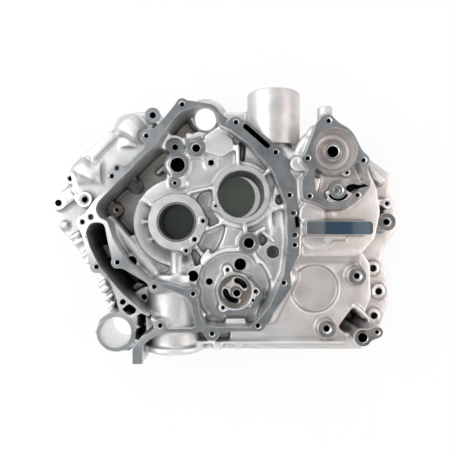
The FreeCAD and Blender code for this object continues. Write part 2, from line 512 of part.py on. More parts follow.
# Hollows of the outside features: pumps, spigot, mouth, slots and windows
def outside_cuts():
    ax, ay = ARM_HOLE
    bx, by = ARM_TIP
    lean = (TUBE_X, TUBE_Y - TUBE_LEAN, COVER_Z - 3)
    lobe = slab(PUMP_LOBE, GEAR_HIGH_Z + 3, PUMP_FACE_Z + 1).cut(
        post(PUMP_X, PUMP_Y, PUMP_R + 2.6, PUMP_FLOOR_Z - 9, PUMP_FACE_Z + 9))
    back = SPIGOT_END - SPIGOT_BORE_L
    mouth = NIPPLE_END - NIPPLE_BORE_L
    return [tube((TUBE_X, TUBE_Y + 3, SPLIT_Z - 4), lean, TUBE_BORE_R),
            slot(*RIM_SLOT, RIM_SLOT_HALF, RIM_SLOT_Z, COVER_Z + 1),
            slot(*D_SLOT, D_SLOT_HALF, GEAR_LOW_Z, COVER_Z + 1),
            hole(ax, ay, ARM_BORE_R, ARM_Z, ARM_BORE_L), hole(bx, by, ARM_TIP_BORE_R, ARM_Z, ARM_TIP_BORE_L),
            post(DISC_X, DISC_Y, DISC_R, DISC_Z, GEAR_LOW_Z + 1),
            slab(ARM_WINDOW, WINDOW_Z, COVER_Z), slab(DIAMOND_WINDOW, WINDOW_Z, COVER_Z + 1),
            slab(LEG_WINDOW, WINDOW_Z, COVER_Z + 1),
            post(PUMP_X, PUMP_Y, PUMP_R, PUMP_BOWL_Z, PUMP_FACE_Z + 1), lobe,
            cone(PUMP_X, PUMP_Y, PUMP_BOWL_R, PUMP_R - PUMP_LEDGE, PUMP_FLOOR_Z, PUMP_BOWL_Z),
            tube((SPIGOT_X, back, SPIGOT_Z), (SPIGOT_X, SPIGOT_END + 1, SPIGOT_Z), SPIGOT_BORE_R),
            tube((SPIGOT_X, back - THROAT_BORE_L, SPIGOT_Z), (SPIGOT_X, back + 1, SPIGOT_Z), THROAT_BORE_R),
            tube((MOUTH_X, MOUTH_END_Y, MOUTH_Z), (MOUTH_X, DECK_Y - 1, MOUTH_Z), MOUTH_BORE_R),
            tube((NIPPLE_X, mouth, NIPPLE_Z), (NIPPLE_X, NIPPLE_END + 1, NIPPLE_Z), NIPPLE_BORE_R)]


# Oil pump seat: round pocket, two kidney ports and the shaft hole
def oil_cuts():
    x, y = OIL_X + 1, OIL_Y - 1
    cuts = [post(OIL_X, OIL_Y, OIL_R, OIL_FLOOR_Z, OIL_RIM_Z + 1),
            hole(OIL_SHAFT_X, OIL_SHAFT_Y, OIL_SHAFT_R, OIL_FLOOR_Z, OIL_FLOOR_Z - OIL_PORT_Z)]
    for start, end in [PORT_HIGH, PORT_LOW]:
        port = sector(x, y, PORT_OUT_R, start, end, OIL_PORT_Z, OIL_FLOOR_Z + 1)
        cuts.append(port.cut(post(x, y, PORT_IN_R, OIL_PORT_Z - 1, COVER_Z)))
    return cuts


# Outlet slot, seal bore, peg hole and shaft bore of the water pump
def pump_outlets():
    return [slot(*PUMP_SLOT, PUMP_SLOT_HALF, GEAR_HIGH_Z - 4, GEAR_HIGH_Z + 11),
            hole(SEAL_X, SEAL_Y, SEAL_BORE_R, SEAL_TOP_Z, SEAL_DEPTH),
            hole(PUMP_X, PUMP_Y, PUMP_BORE_R, PUMP_CONE_Z, PUMP_BORE_L)]


# The casting, one solid
def crankcase():
    outer = join(outer_bodies() + flank_domes() + corner_ring() + spigot() + cylinder_mouth()
                 + upper_tube() + right_side())
    body = outer.cut([big_cuts(), trough(), under_cuts()])
    body = join([body] + inner_bodies()).cut(holes() + outside_cuts() + oil_cuts())
    return join([body] + pump_seats()).cut(pump_outlets()).removeSplitter()


# Thin-walled round sleeve
def sleeve(x, y, outer_r, inner_r, low, high):
    return post(x, y, outer_r, low, high).cut(post(x, y, inner_r, low - 1, high + 1))


os.makedirs("parts", exist_ok=True)
pieces = {"crankcase_casting": crankcase(),
          "crank_bush": sleeve(0, 0, CRANK_BORE_R - BUSH_GAP, CRANK_BORE_R - BUSH_WALL,
                               FACE_Z - BUSH_H, FACE_Z)}
for name, shape in pieces.items():
    shape.exportStep("parts/" + name + ".step")
    print(name, "solids", len(shape.Solids), "valid", shape.isValid(), "cm3", round(shape.Volume / 1000))
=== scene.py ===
import math
import bpy
import mathutils
import numpy as np
import openvdb as vdb
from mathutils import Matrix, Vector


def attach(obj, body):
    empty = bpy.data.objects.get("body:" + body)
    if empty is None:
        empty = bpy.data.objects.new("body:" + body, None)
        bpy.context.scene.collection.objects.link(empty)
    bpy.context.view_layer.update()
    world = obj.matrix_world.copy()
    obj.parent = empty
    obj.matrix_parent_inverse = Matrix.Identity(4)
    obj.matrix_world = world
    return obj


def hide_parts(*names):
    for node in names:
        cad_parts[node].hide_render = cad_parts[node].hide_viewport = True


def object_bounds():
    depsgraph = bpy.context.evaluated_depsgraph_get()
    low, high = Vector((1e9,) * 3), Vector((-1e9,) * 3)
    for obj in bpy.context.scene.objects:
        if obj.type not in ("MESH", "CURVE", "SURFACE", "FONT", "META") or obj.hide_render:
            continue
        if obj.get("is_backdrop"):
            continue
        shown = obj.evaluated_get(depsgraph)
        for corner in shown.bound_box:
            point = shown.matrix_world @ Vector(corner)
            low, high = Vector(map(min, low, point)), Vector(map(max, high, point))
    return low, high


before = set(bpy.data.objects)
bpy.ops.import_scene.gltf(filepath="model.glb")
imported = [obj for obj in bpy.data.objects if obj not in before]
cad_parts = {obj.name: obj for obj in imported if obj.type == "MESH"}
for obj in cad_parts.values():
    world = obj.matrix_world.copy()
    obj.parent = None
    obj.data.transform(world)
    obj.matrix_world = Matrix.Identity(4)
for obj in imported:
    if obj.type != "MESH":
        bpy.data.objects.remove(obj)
cadBox = [list(corner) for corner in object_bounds()]
mm = 0.001

# How the rough casting is made: all lengths in mm
casting = {"voxel": 1.0, "band": 6.0, "fillet": 2.2, "soften": 0.8, "faces": 150000,
           "machiningStock": 2.0, "sharpAngle": 34.0, "margin": 0.03}
coverZ, pumpZ, barZ = 8.0, 23.0, 28.0
metalNames = ["castAluminium", "milledRim", "turnedRing", "holeShade", "mountBarReflection", "roughPad", "oilFilm",
              "turnedSpigot",
              "boreShade"]
metalOf = {"cast": 0, "rim": 1, "ring": 2, "hole": 3, "bar": 4, "rough": 5, "film": 6, "turned": 7,
           "bore": 8}
photo = {"scale": 1.1, "eye": 483.0, "cover": 475.0, "x": 55.4, "y": -4.5, "middle": 226.0}


def fromPhoto(px, py, z):
    # a pixel is carried along its line of sight down to height z
    k = photo["scale"] * (photo["eye"] - z) / photo["cover"]
    return k * (px - photo["middle"]) + photo["x"], k * (photo["middle"] - py) + photo["y"]


# ---- meshes from plain arrays ----
def makeMesh(name, points, faces, slots=None):
    # points in mm, faces as lists of equal or mixed length
    mesh = bpy.data.meshes.new(name)
    mesh.from_pydata((np.asarray(points, float) * mm).tolist(), [], faces)
    if slots is not None:
        mesh.polygons.foreach_set("material_index", np.asarray(slots, np.int32))
    mesh.update()
    return mesh


def addObject(name, mesh):
    thing = bpy.data.objects.new(name, mesh)
    bpy.context.scene.collection.objects.link(thing)
    return thing


def latheArrays(profile, centre, axis="z", sides=40):
    # (r, h) pairs turned about the axis: x = r cos t, y = r sin t, height h; the ends lie on the axis
    rings = np.array([p for p in profile if p[0] > 0], float)
    turn = np.arange(sides) * 2 * math.pi / sides
    ringPoints = np.stack([rings[:, :1] * np.cos(turn), rings[:, :1] * np.sin(turn),
                           np.repeat(rings[:, 1:], sides, 1)], -1).reshape(-1, 3)
    points = np.vstack([ringPoints, [[0, 0, profile[0][1]], [0, 0, profile[-1][1]]]])
    i = np.arange(sides)
    j = (i + 1) % sides
    quads = [np.stack([k * sides + i, k * sides + j, (k + 1) * sides + j, (k + 1) * sides + i], 1)
             for k in range(len(rings) - 1)]
    low, high = len(points) - 2, len(points) - 1
    last = (len(rings) - 1) * sides
    caps = [np.stack([np.full(sides, low), j, i], 1), np.stack([np.full(sides, high), last + i, last + j],
                                                               1)]
    if axis == "y":      # height runs to +Y
        points = np.stack([points[:, 0], points[:, 2], -points[:, 1]], 1)
    if axis == "-y":
        points = np.stack([points[:, 0], -points[:, 2], points[:, 1]], 1)
    faces = [f for part in quads + caps for f in part.tolist()]
    return points + np.asarray(centre, float), faces


def prismArrays(outline, low, high):
    # plan outline, counterclockwise, carried straight up
    flat = np.asarray(outline, float)
    n = len(flat)
    points = np.vstack([np.column_stack([flat, np.full(n, low)]),
                        np.column_stack([flat, np.full(n, high)])])
    walls = [[k, (k + 1) % n, n + (k + 1) % n, n + k] for k in range(n)]
    return points, walls + [list(range(n))[::-1], list(range(n, 2 * n))]


def joinArrays(parts):
    # each part is its points, its faces and one metal for all faces or one for each
    points, faces, metals, start = [], [], [], 0
    for part, partFaces, metal in parts:
        points.append(part)
        faces += [[v + start for v in face] for face in partFaces]
        metals += [metal] * len(partFaces) if isinstance(metal, int) else list(metal)
        start += len(part)
    return np.vstack(points), faces, metals


# ---- the field: signed distance to the metal on a grid, below 0 inside ----
def nodeArrays(name):
    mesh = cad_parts[name].data
    points = np.empty(len(mesh.vertices) * 3, np.float32)
    mesh.vertices.foreach_get("co", points)
    mesh.calc_loop_triangles()
    tris = np.empty(len(mesh.loop_triangles) * 3, np.int32)
    mesh.loop_triangles.foreach_get("vertices", tris)
    points = points.reshape(-1, 3) / mm
    first, where = np.unique(np.round(points * 1000).astype(np.int64), axis=0,
                             return_index=True, return_inverse=True)[1:]
    tris = where.reshape(-1)[tris].reshape(-1, 3)
    sound = (tris[:, 0] != tris[:, 1]) & (tris[:, 1] != tris[:, 2]) & (tris[:, 2] != tris[:, 0])
    return points[first], tris[sound]


castPoints, castTris = nodeArrays("crankcase_casting")
gridStep = vdb.createLinearTransform(voxelSize=casting["voxel"])
gridLow = np.floor(castPoints.min(0) - casting["band"]).astype(int)
gridSize = np.ceil(castPoints.max(0) + casting["band"]).astype(int) - gridLow
corner = tuple(int(c) for c in gridLow)


def toArray(points, tris, quads=None):
    band = int(casting["band"])
    extra = {} if quads is None else {"quads": quads}
    grid = vdb.FloatGrid.createLevelSetFromPolygons(points.astype(np.float32),
                                                    triangles=tris.astype(np.uint32),
                                                    transform=gridStep, halfWidth=band, **extra)
    out = np.full(gridSize, casting["band"], np.float32)
    grid.copyToArray(out, ijk=corner)
    return out


def toPolygons(array, level):
    grid = vdb.FloatGrid(float(casting["band"]))
    grid.transform = gridStep
    grid.copyFromArray(np.ascontiguousarray(array), ijk=corner)
    return grid.convertToPolygons(isovalue=level, adaptivity=0)


def blurField(array, sigma):
    # each axis in turn is averaged with bell-shaped weights exp(-i*i / (2 sigma sigma))
    reach = int(math.ceil(3 * sigma))
    weights = np.exp(-0.5 * (np.arange(-reach, reach + 1) / sigma) ** 2)
    weights /= weights.sum()
    for axis in range(3):
        padded = np.pad(array, [(reach, reach) if a == axis else (0, 0) for a in range(3)], mode="edge")
        total = np.zeros_like(array)
        for i, w in enumerate(weights):
            total += np.float32(w) * np.take(padded, range(i, i + array.shape[axis]), axis=axis)
        array = total
    return array


field = toArray(castPoints, castTris)
print("field", field.shape)


def block(low, high):
    # the part of the field in a box, and the mm coordinates of its points
    a = np.clip(np.floor(np.asarray(low, float)).astype(int) - gridLow, 0, gridSize)
    b = np.clip(np.ceil(np.asarray(high, float)).astype(int) + 1 - gridLow, 0, gridSize)
    cut = tuple(slice(p, q) for p, q in zip(a, b))
    layouts = [[-1 if k == i else 1 for k in range(3)] for i in range(3)]
    return cut, [np.arange(a[i], b[i], dtype=np.float32).reshape(layouts[i]) + gridLow[i] for i in range(3)]


def addShape(low, high, shape, carve=False):
    cut, (x, y, z) = block(np.asarray(low) - 5, np.asarray(high) + 5)
    d = np.clip(shape(x, y, z), -casting["band"], casting["band"]).astype(np.float32)
    field[cut] = np.maximum(field[cut], -d) if carve else np.minimum(field[cut], d)


def outside(*gaps):
    # distance to the corner of several half-spaces: the root of the squares outside, the largest gap inside
    gaps = np.broadcast_arrays(*gaps)
    return np.sqrt(sum(np.maximum(g, 0) ** 2 for g in gaps)) + np.minimum(np.maximum.reduce(gaps), 0)


def peg(x, y, r, low, top, draft=0.03, carve=False):
    # round post that grows by draft for each mm below its top
    def shape(gx, gy, gz):
        side = np.hypot(gx - x, gy - y) - (r + draft * (top - gz))
        return outside(side, np.maximum(gz - top, low - gz))
    wide = r + abs(draft) * (top - low)
    addShape((x - wide, y - wide, low), (x + wide, y + wide, top), shape, carve)


def rib(ax, ay, bx, by, half, low, topA, topB=None, draft=0.06, carve=False):
    # wall of plan half-width half along a segment; its top runs straight from topA to topB
    topB = topA if topB is None else topB
    length = math.hypot(bx - ax, by - ay)

    def shape(gx, gy, gz):
        along = np.clip(((gx - ax) * (bx - ax) + (gy - ay) * (by - ay)) / length ** 2, 0, 1)
        side = np.hypot(gx - ax - along * (bx - ax), gy - ay - along * (by - ay))
        top = topA + (topB - topA) * along
        return outside(side - half - draft * np.clip(top - gz, 0, 30), np.maximum(gz - top, low - gz))
    addShape((min(ax, bx) - half - 2, min(ay, by) - half - 2, low),
             (max(ax, bx) + half + 2, max(ay, by) + half + 2, max(topA, topB)), shape, carve)


def arcRib(x, y, r, start, end, half, low, top, carve=False):
    # wall along an arc: distance to the circle where the bearing lies between start and end degrees
    middle, spread = math.radians((start + end) / 2), math.radians(end - start) / 2

    def shape(gx, gy, gz):
        bearing = np.angle(np.exp(1j * (np.arctan2(gy - y, gx - x) - middle)))
        far = np.hypot(gx - x, gy - y)
        past = np.maximum(np.abs(bearing) - spread, 0) * np.maximum(far, 1)
        return outside(np.hypot(far - r, past) - half, np.maximum(gz - top, low - gz))
    addShape((x - r - half, y - r - half, low), (x + r + half, y + r + half, top), shape, carve)


def planDistance(outline, gx, gy):
    # distance to a closed plan outline, below 0 inside; the side is told by counting crossings
    best, inside = None, np.zeros(np.broadcast(gx, gy).shape, bool)
    for (ax, ay), (bx, by) in zip(outline, outline[1:] + outline[:1]):
        along = np.clip(((gx - ax) * (bx - ax) + (gy - ay) * (by - ay)) / ((bx - ax) ** 2 + (by - ay) ** 2),
                        0, 1)
        d = (gx - ax - along * (bx - ax)) ** 2 + (gy - ay - along * (by - ay)) ** 2
        best = d if best is None else np.minimum(best, d)
        if ay != by:
            crosses = ((gy >= ay) != (gy >= by)) & (gx < ax + (gy - ay) * (bx - ax) / (by - ay))
            inside ^= crosses
    return np.where(inside, -1, 1) * np.sqrt(best)


def pad(outline, low, top, slope=0.0, knee=None, carve=False):
    # plan outline carried up to top; above knee the walls lean in by slope for each mm
    knee = low if knee is None else knee

    def shape(gx, gy, gz):
        side = planDistance(outline, gx, gy) + slope * np.maximum(gz - knee, 0)
        return outside(side / math.hypot(1, slope), np.maximum(gz - top, low - gz))
    xs, ys = [p[0] for p in outline], [p[1] for p in outline]
    addShape((min(xs), min(ys), low), (max(xs), max(ys), top), shape, carve)


def rod(a, b, r, carve=False):
    # round bar between two points of space, with round ends
    a, b = np.asarray(a, float), np.asarray(b, float)
    line = b - a

    def shape(gx, gy, gz):
        dot = (gx - a[0]) * line[0] + (gy - a[1]) * line[1] + (gz - a[2]) * line[2]
        along = np.clip(dot / (line @ line), 0, 1)
        return np.sqrt((gx - a[0] - along * line[0]) ** 2 + (gy - a[1] - along * line[1]) ** 2
                       + (gz - a[2] - along * line[2]) ** 2) - r
    addShape(np.minimum(a, b) - r, np.maximum(a, b) + r, shape, carve)


def sleeveY(x, z, r, yLow, yHigh, carve=False):
    # level round bar along Y
    def shape(gx, gy, gz):
        return outside(np.hypot(gx - x, gz - z) - r, np.maximum(gy - yHigh, yLow - gy))
    addShape((x - r, yLow, z - r), (x + r, yHigh, z + r), shape, carve)


def photoOutline(points, z):
    return [fromPhoto(px, py, z) for px, py in points]


# ---- cast detail that the plain CAD solid lacks: outlines in photo pixels, all other numbers in mm ----
# rib: ends, half-width, low, top at both ends, draft; post: x, y, radius, low, top
# arc: x, y, radius, start and end in degrees, half-width, low, top
def addRibs(rows, carve=False):
    for row in rows:
        rib(*row, carve=carve)


def addPosts(rows):
    for row in rows:
        peg(*row)


def addArcs(rows):
    for row in rows:
        arcRib(*row)


def addPad(outline, z, low, top, slope=0.0, knee=None, carve=False):
    # clockwise photo outline, seen at height z, as a pad
    pad(photoOutline(outline, z)[::-1], low, top, slope, knee, carve)


flank = {"floor": -22.0, "top": -9.0, "knee": -24.0, "lean": 0.55, "foot": -60.0,
         "bumpHigh": [(112, 129), (115.5, 121.5), (123.5, 113), (134.5, 112), (146, 124), (148, 130),
                      (141, 147),
                      (132, 146), (116.7, 136.7)],
         "bumpLow": [(67.8, 172), (71, 164), (79, 156.5), (88, 155.5), (105, 171), (104.5, 180), (98, 188),
                     (90, 187), (76.7, 181)],
         "groove": ((94, 160), (117, 137.5)),
         "lugs": [(-151.5, 24, -129, 41, 8.2, -79, -50), (-129, 41, -110, 28, 6.0, -79, -46),
                  (-118, 30, -107, 26, 9.0, -79, -34, -20)],
         "lugPost": (-134.3, 53.3, 6.8, -79, -42),
         "posts": [((64, 225), 4.6, -52), ((83, 222), 5.6, -2), ((111, 176), 4.2, -6)],
         "fins": [((72, 238), (80, 233)), ((76, 244), (84, 239)), ((84, 256), (90, 250)),
                  ((88, 262), (93, 257)),
                  ((100, 285), (106, 281)), ((103, 291), (109, 287)), ((107, 299), (113, 294)),
                  ((110, 306), (115, 302))]}


def addFlankDetail():
    floor, top, knee, lean, foot = (flank[key] for key in ("floor", "top", "knee", "lean", "foot"))
    addPad(flank["bumpHigh"], -16, foot, top + 2, lean, knee)
    addPad(flank["bumpLow"], -24, foot, top - 4, lean, knee - 6)
    start, end = flank["groove"]
    rib(*fromPhoto(*start, floor), *fromPhoto(*end, floor), 1.5, floor - 5, floor + 9, carve=True)
    addRibs(flank["lugs"])
    peg(*flank["lugPost"])
    for pixel, r, height in flank["posts"]:
        peg(*fromPhoto(*pixel, height), r, foot, height)
    for start, end in flank["fins"]:
        rib(*fromPhoto(*start, -56), *fromPhoto(*end, -56), 2.2, -66, -50)


# each with the height of its top
pocketFills = {"drumSide": ([(133, 235), (139, 242), (147, 251), (156, 260), (167, 267), (166, 280),
                             (157, 276),
                             (144, 262), (134, 248)], -17),
               "ridgeSide": ([(113, 236), (128, 250), (163, 281), (157, 289), (122, 268), (111, 246)], -16),
               "pumpFlange": ([(246, 276.5), (250, 275.5), (256, 285), (263, 290), (263, 297), (257, 305),
                               (249, 309), (251, 305.5), (255, 299), (256, 292), (253, 283)], -9),
               "tunnelStep": ([(97, 246), (108, 244), (113, 258), (104, 263), (99, 256)], -34),
               "tunnelSlope": ([(128, 291), (137, 282), (147, 284), (147, 292), (139, 297), (131, 297)],
                               -36)}
pocket = {"arcs": [(-4.2, 87.0, 12.0, 15, 190, 1.6, -45, -15), (0.2, 65.1, 16.5, 100, 250, 1.3, -45, -19),
                   (72.2, 31.3, 36.6, 200, 330, 1.4, -14, -7)],
          "ribs": [(-14, 70, -27, 60, 2.5, -45, -30, -38), (12, 100, 14, 92, 3.2, -30, -12),
                   (-22, 17.8, -29, 24, 3.5, -20, -2, -12), (-3, 44.6, 6.1, 44.8, 5.0, -14, -9),
                   (29.8, 1.1, 22, 1, 3.0, -20, -1), (20.3, -19.5, 15, -14, 3.0, -20, -1),
                   (10.8, -32.3, 8, -24, 3.0, -20, -1), (35, -32, 27, -44, 1.5, -20, -9),
                   (97.5, 52, 106, 62, 1.5, -20, -2), (68.8, 62, 68.4, 86, 1.6, -20, -2)],
          "posts": [(-53.5, -45.5, 8.0, -42, -14), (6.1, 44.8, 4.6, -14, -8)],
          "crown": (21.6, 83.5, 10, 12.4, 1.2, -24, -7), "crownTurns": (20, 75, 130, 185, 240, 295),
          "drum": (150, 292),
          "window": [(259, 236), (266, 231), (267, 242), (260, 249)],
          "drumGrooves": [(239.5 + 0.4 * k, 240.5 + 3.6 * k) for k in range(3)],
          "tray": [(28, -104), (101, -104), (91, -117), (33, -117)],
          "trayGaps": [(41, 54), (79, 88)],
          "oilBosses": [(57.1, -54.1, 4.4, -24, -5), (88.7, -78.9, 5.4, -24, -8),
                        (52.0, -97.0, 5.6, -24, -5),
                        (85.9, -89.1, 4.6, -24, -8)],
          "strut": (120, 20, 112, 14, 1.6, -44, -8)}


def drumSlope(start, end):
    # cone round the crank bearing: height z rises by 0.72 for each mm outwards from radius 35
    middle, spread = math.radians((start + end) / 2), math.radians(end - start) / 2

    def shape(gx, gy, gz):
        far = np.hypot(gx, gy)
        bearing = np.angle(np.exp(1j * (np.arctan2(gy, gx) - middle)))
        past = (np.abs(bearing) - spread) * np.maximum(far, 1)
        return outside((gz + 20 - 0.72 * (far - 35)) / 1.23, past, far - 50.5, 31 - far, -30 - gz)
    addShape((-52, -52, -30), (52, 52, -8), shape)


def addPocketDetail():
    addArcs(pocket["arcs"])
    addRibs(pocket["ribs"])
    addPosts(pocket["posts"])
    x, y, inner, outer, half, low, top = pocket["crown"]     # notched crown of the upper boss
    for turn in pocket["crownTurns"]:
        c, s = math.cos(math.radians(turn)), math.sin(math.radians(turn))
        rib(x + inner * c, y + inner * s, x + outer * c, y + outer * s, half, low, top)
    drumSlope(*pocket["drum"])
    for outline, top in pocketFills.values():
        addPad(outline, top, -60, top)
    addPad(pocket["window"], -12, -19, 10, carve=True)
    for pixel in pocket["drumGrooves"]:                      # down the side of the drum boss
        x, y = fromPhoto(*pixel, 4)
        rib(x - 4, y, x + 4.2, y, 0.9, -12, 12, draft=0, carve=True)
    pad(pocket["tray"][::-1], -46, -20)
    for left, right in pocket["trayGaps"]:                   # dark recesses in the lower wall
        pad([(left, -119), (right, -119), (right, -114), (left, -114)], -19, -1, carve=True)
    addPosts(pocket["oilBosses"])
    rib(*pocket["strut"])


# collars: x, z, radius, low and high y; blocks along the lower edge: x, half-width, top
mouth = {"collars": [(-4, -29, 27.5, -70, -60), (-4, -29, 29.6, -75, -70.8)],
         "heel": [(-30, -138), (-18, -140), (-20, -146), (-30, -146)],
         "blocks": [(46, 5, -6), (58, 6, -14), (70, 4, -8), (100, 10, -18), (134, 7, -20)],
         "edge": (24, -137, 190, -137, 1.6, -40, -8),
         "screwPosts": [(40, -123.3, 8.2, -40, coverZ), (-17.2, -114.5, 7.4, -30, coverZ)]}


def addMouthDetail():
    for collar in mouth["collars"]:
        sleeveY(*collar)
    pad(mouth["heel"], -70, -52)
    for x, w, top in mouth["blocks"]:
        pad([(x - w, -145), (x + w, -145), (x + w, -136), (x - w, -136)], -60, top)
    rib(*mouth["edge"])
    addPosts(mouth["screwPosts"])


# pixel columns of the top and the foot of each bar
pump = {"bars": [(310, 308), (314.5, 312.5), (319, 316)],
        "sealArc": (177.3, 34.7, 12.5, 190, 350, 1.4, 3, 14),
        "outletFill": (188, 43, 206, 44, 5.5, -6, 5), "inletRib": (134.3, 63.6, 142, 62, 4.0, 0, 12),
        "housingRibs": [(58, -1.5), (61.5, -3.5), (65, -6)],
        "wing": [(370, 160), (385, 175), (389, 182), (380, 186), (372, 180), (368, 170)],
        "wingGroove": ((379, 182), (383, 177)),
        "necks": [((111, 86, -12), (128, 70, -4), 11), ((100, 92, -34), (94, 84, -34), 15)]}


def addPumpDetail():
    for topColumn, footColumn in pump["bars"]:
        rib(*fromPhoto(topColumn, 179, 8), *fromPhoto(footColumn, 191, 8), 1.3, 3, 14)
    arcRib(*pump["sealArc"])
    rib(*pump["outletFill"])                                 # filled, then cut crisply as an opening
    rib(*pump["inletRib"])
    for r, top in pump["housingRibs"]:                       # faint ribs of the gear housing
        arcRib(152, 40, r, -18, 32, 1.1, -14, top)
    addPad(pump["wing"], -30, -60, -30, 0.25, -40)
    start, end = pump["wingGroove"]
    rib(*fromPhoto(*start, -28), *fromPhoto(*end, -28), 1.2, -40, -20, carve=True)
    for neck in pump["necks"]:
        rod(*neck)


gearSide = {"disc": (157.3, -76.3, 27.6, -17, 4, 0),
            "foot": (127, -62, 105, -106, 5.5, -20, 6, 6, 0.3),
            "flangePosts": [(236.3, -56.5), (243.1, -85.0), (237.5, -114.8)],
            "flangeArc": (243.1, -85.0, 8.6, 60, 205, 1.2, -70, -46.5),
            "recess": [(184.5, -121.5), (197, -130.5), (216.5, -116), (201, -99)],
            "recessRib": (203, -96, 221, -113, 1.6, -58, -9),
            "collars": [(202.5, -60.7, 10.3, 0), (168.8, -120.2, 10.3, -2), (243.7, 0.2, 10.7, -22)],
            "stays": [(168.8, -120.2, 186, -136, 3.0, -60, -10, -18),
                      (202.5, -60.7, 212, -48, 4.0, -60, -10, -30),
                      (243.7, 0.2, 232, 2, 6.0, -70, -30, -24), (247.4, 22.3, 236, 24, 4.0, -70, -34, -30)],
            "smallPost": (247.4, 22.3, 6.4, -70, -30),
            "ledge": [(166, -19.5), (188, -19.5), (188, -13), (166, -13)],
            "armStay": (204.5, -126.4, 190, -134, 4.0, -70, -6, -14)}


def addGearSideDetail():
    # soft shoulder between the high and the low gear housing: a cosine step over 20 mm
    addShape((130, -54, -16), (214, -30, 3), lambda gx, gy, gz: outside(
        (gz + 5.5 - 6.4 * np.cos(np.clip((-34 - gy) / 20, 0, 1) * math.pi)) / 1.3,
        np.maximum(gx - 206, 132 - gx), gy + 30, -16 - gz, -54 - gy))
    peg(*gearSide["disc"], carve=True)
    rib(*gearSide["foot"])                                   # slanted foot on both sides of the rim
    for x, y in gearSide["flangePosts"]:
        peg(x, y, 9.0, -70, -48)
        rib(x, y, x - 14, y - 2, 4.0, -70, -49, -50)
    arcRib(*gearSide["flangeArc"])
    pad(gearSide["recess"], -50, 6, carve=True)
    rib(*gearSide["recessRib"])
    for x, y, r, top in gearSide["collars"]:
        peg(x, y, r, top - 45, top, 0.05)
    addRibs(gearSide["stays"])
    peg(*gearSide["smallPost"])
    pad(gearSide["ledge"], -2, 5)
    rib(*gearSide["armStay"])


# the see-through hole follows the line of sight, with stepped lips on its lower left
tube = {"lips": [(30.2, 126.0, 19.5, -44, -33.0), (30.2, 126.0, 17.0, -44, -28.0)],
        "hole": ((33.4, 111.6, 12.0), (27.9, 137.2, -90.0), 13.3)}


def addTubeSteps():
    addPosts(tube["lips"])
    rod(*tube["hole"], carve=True)


# slopes round the big bearing: start and end in degrees, height and rise for each mm, outer radius
ramps = {"centre": (72.2, 31.3), "slopes": [(29, 84, -19, 0.65, 64), (-40, 33, -18, 0.3, 60)],
         "upperWall": [(66, 108), (84, 95), (103, 78), (114, 64), (122, 48)],
         "ribs": [(105.5, 20, 108, -14, 1.5, -40, -8), (112, 42, 110, 22, 1.5, -40, -7),
                  (98, -12, 110, -22, 1.5, -40, -6)]}


def addSlope(start, end, base, rise, reach):
    # height z = base + rise (r - 36) at radius r from the big bearing, between two bearings
    bigX, bigY = ramps["centre"]
    middle, spread = math.radians((start + end) / 2), math.radians(end - start) / 2

    def shape(gx, gy, gz):
        far = np.hypot(gx - bigX, gy - bigY)
        bearing = np.angle(np.exp(1j * (np.arctan2(gy - bigY, gx - bigX) - middle)))
        past = (np.abs(bearing) - spread) * np.maximum(far, 1)
        lift = (gz - base - rise * (far - 36)) / math.hypot(1, rise)
        return outside(lift, past, far - reach, 30 - far, -50 - gz)
    addShape((bigX - reach, bigY - reach, -48), (bigX + reach, bigY + reach, 0), shape)


def addRamps():
    for row in ramps["slopes"]:
        addSlope(*row)
    wall = ramps["upperWall"]
    for start, end in zip(wall, wall[1:]):                   # slanted inner side of the rim
        rib(*start, *end, 1.4, -24, 7.2, draft=0.3)
    addRibs(ramps["ribs"])


# raised finger and oval pad left of the pump rim: pixel, height seen at, height of the bar's middle
finger = {"cleared": [(316, 121), (310.5, 138), (306, 149), (303, 157), (288, 158), (291, 140), (303, 122)],
          "joints": [((300, 150), 8, 5), ((306, 140), 10, 9), ((312.5, 129.5), 12, 13)],
          "radii": (6.2, 4.2),
          "tip": ((298, 163.5), 16, 8.2, 0, 15.5), "ovalPad": (149.0, 8.6, 13.4, -6, 12.5)}


def addFinger():
    addPad(finger["cleared"], 16, 7, 30, carve=True)
    joints = [(*fromPhoto(*pixel, seen), height) for pixel, seen, height in finger["joints"]]
    for start, end, r in zip(joints, joints[1:], finger["radii"]):
        rod(start, end, r)
    pixel, seen, *size = finger["tip"]
    peg(*fromPhoto(*pixel, seen), *size)
    peg(*finger["ovalPad"])


outer = {"hoseRib": (30, 150, 24, 140, 4, -79, -56),
         "spigotFlange": [(53, 117), (79, 117), (79, 131), (53, 131)],
         "cornerRibs": [(-29.7, 124, -14, 112, 5.0, -60, -22, -8), (-29.7, 124, -40, 118, 7.0, -60, -24)],
         "legWindow": [(141, 313.9), (135.7, 320), (137.5, 328), (137.8, 335.5), (142.2, 336), (151, 331),
                       (151, 318)],
         "windowWall": [(145.5, 315), (155, 322), (155, 331), (146, 331)],
         "lowerEdge": [(20, -139), (63, -139), (63, -126), (20, -126)],
         "footPads": [[(94, 331), (98, 320), (104, 318.5), (102, 325), (101.5, 333), (104, 341),
                       (100, 339)],
                      [(106, 343), (109, 351), (117, 353.5), (127, 353), (135, 346), (128, 347), (118, 348),
                       (111, 345)]],
         "ringArc": (-73.2, -128.5, 23.0, 200, 330, 3.2, -79, -44)}


def addOuterDetail():
    rib(*outer["hoseRib"])
    pad(outer["spigotFlange"], -79, -30)
    addRibs(outer["cornerRibs"])
    addPad(outer["legWindow"], coverZ, -58, 12, carve=True)
    addPad(outer["windowWall"], -14, -79, -14)
    pad(outer["lowerEdge"], -60, -20)
    for outline in outer["footPads"]:
        addPad(outline, -46, -70, -46)
    arcRib(*outer["ringArc"])


addFlankDetail()
addPocketDetail()
addMouthDetail()
addPumpDetail()
addGearSideDetail()
addOuterDetail()
addRamps()
addFinger()
addTubeSteps()
print("cast detail")

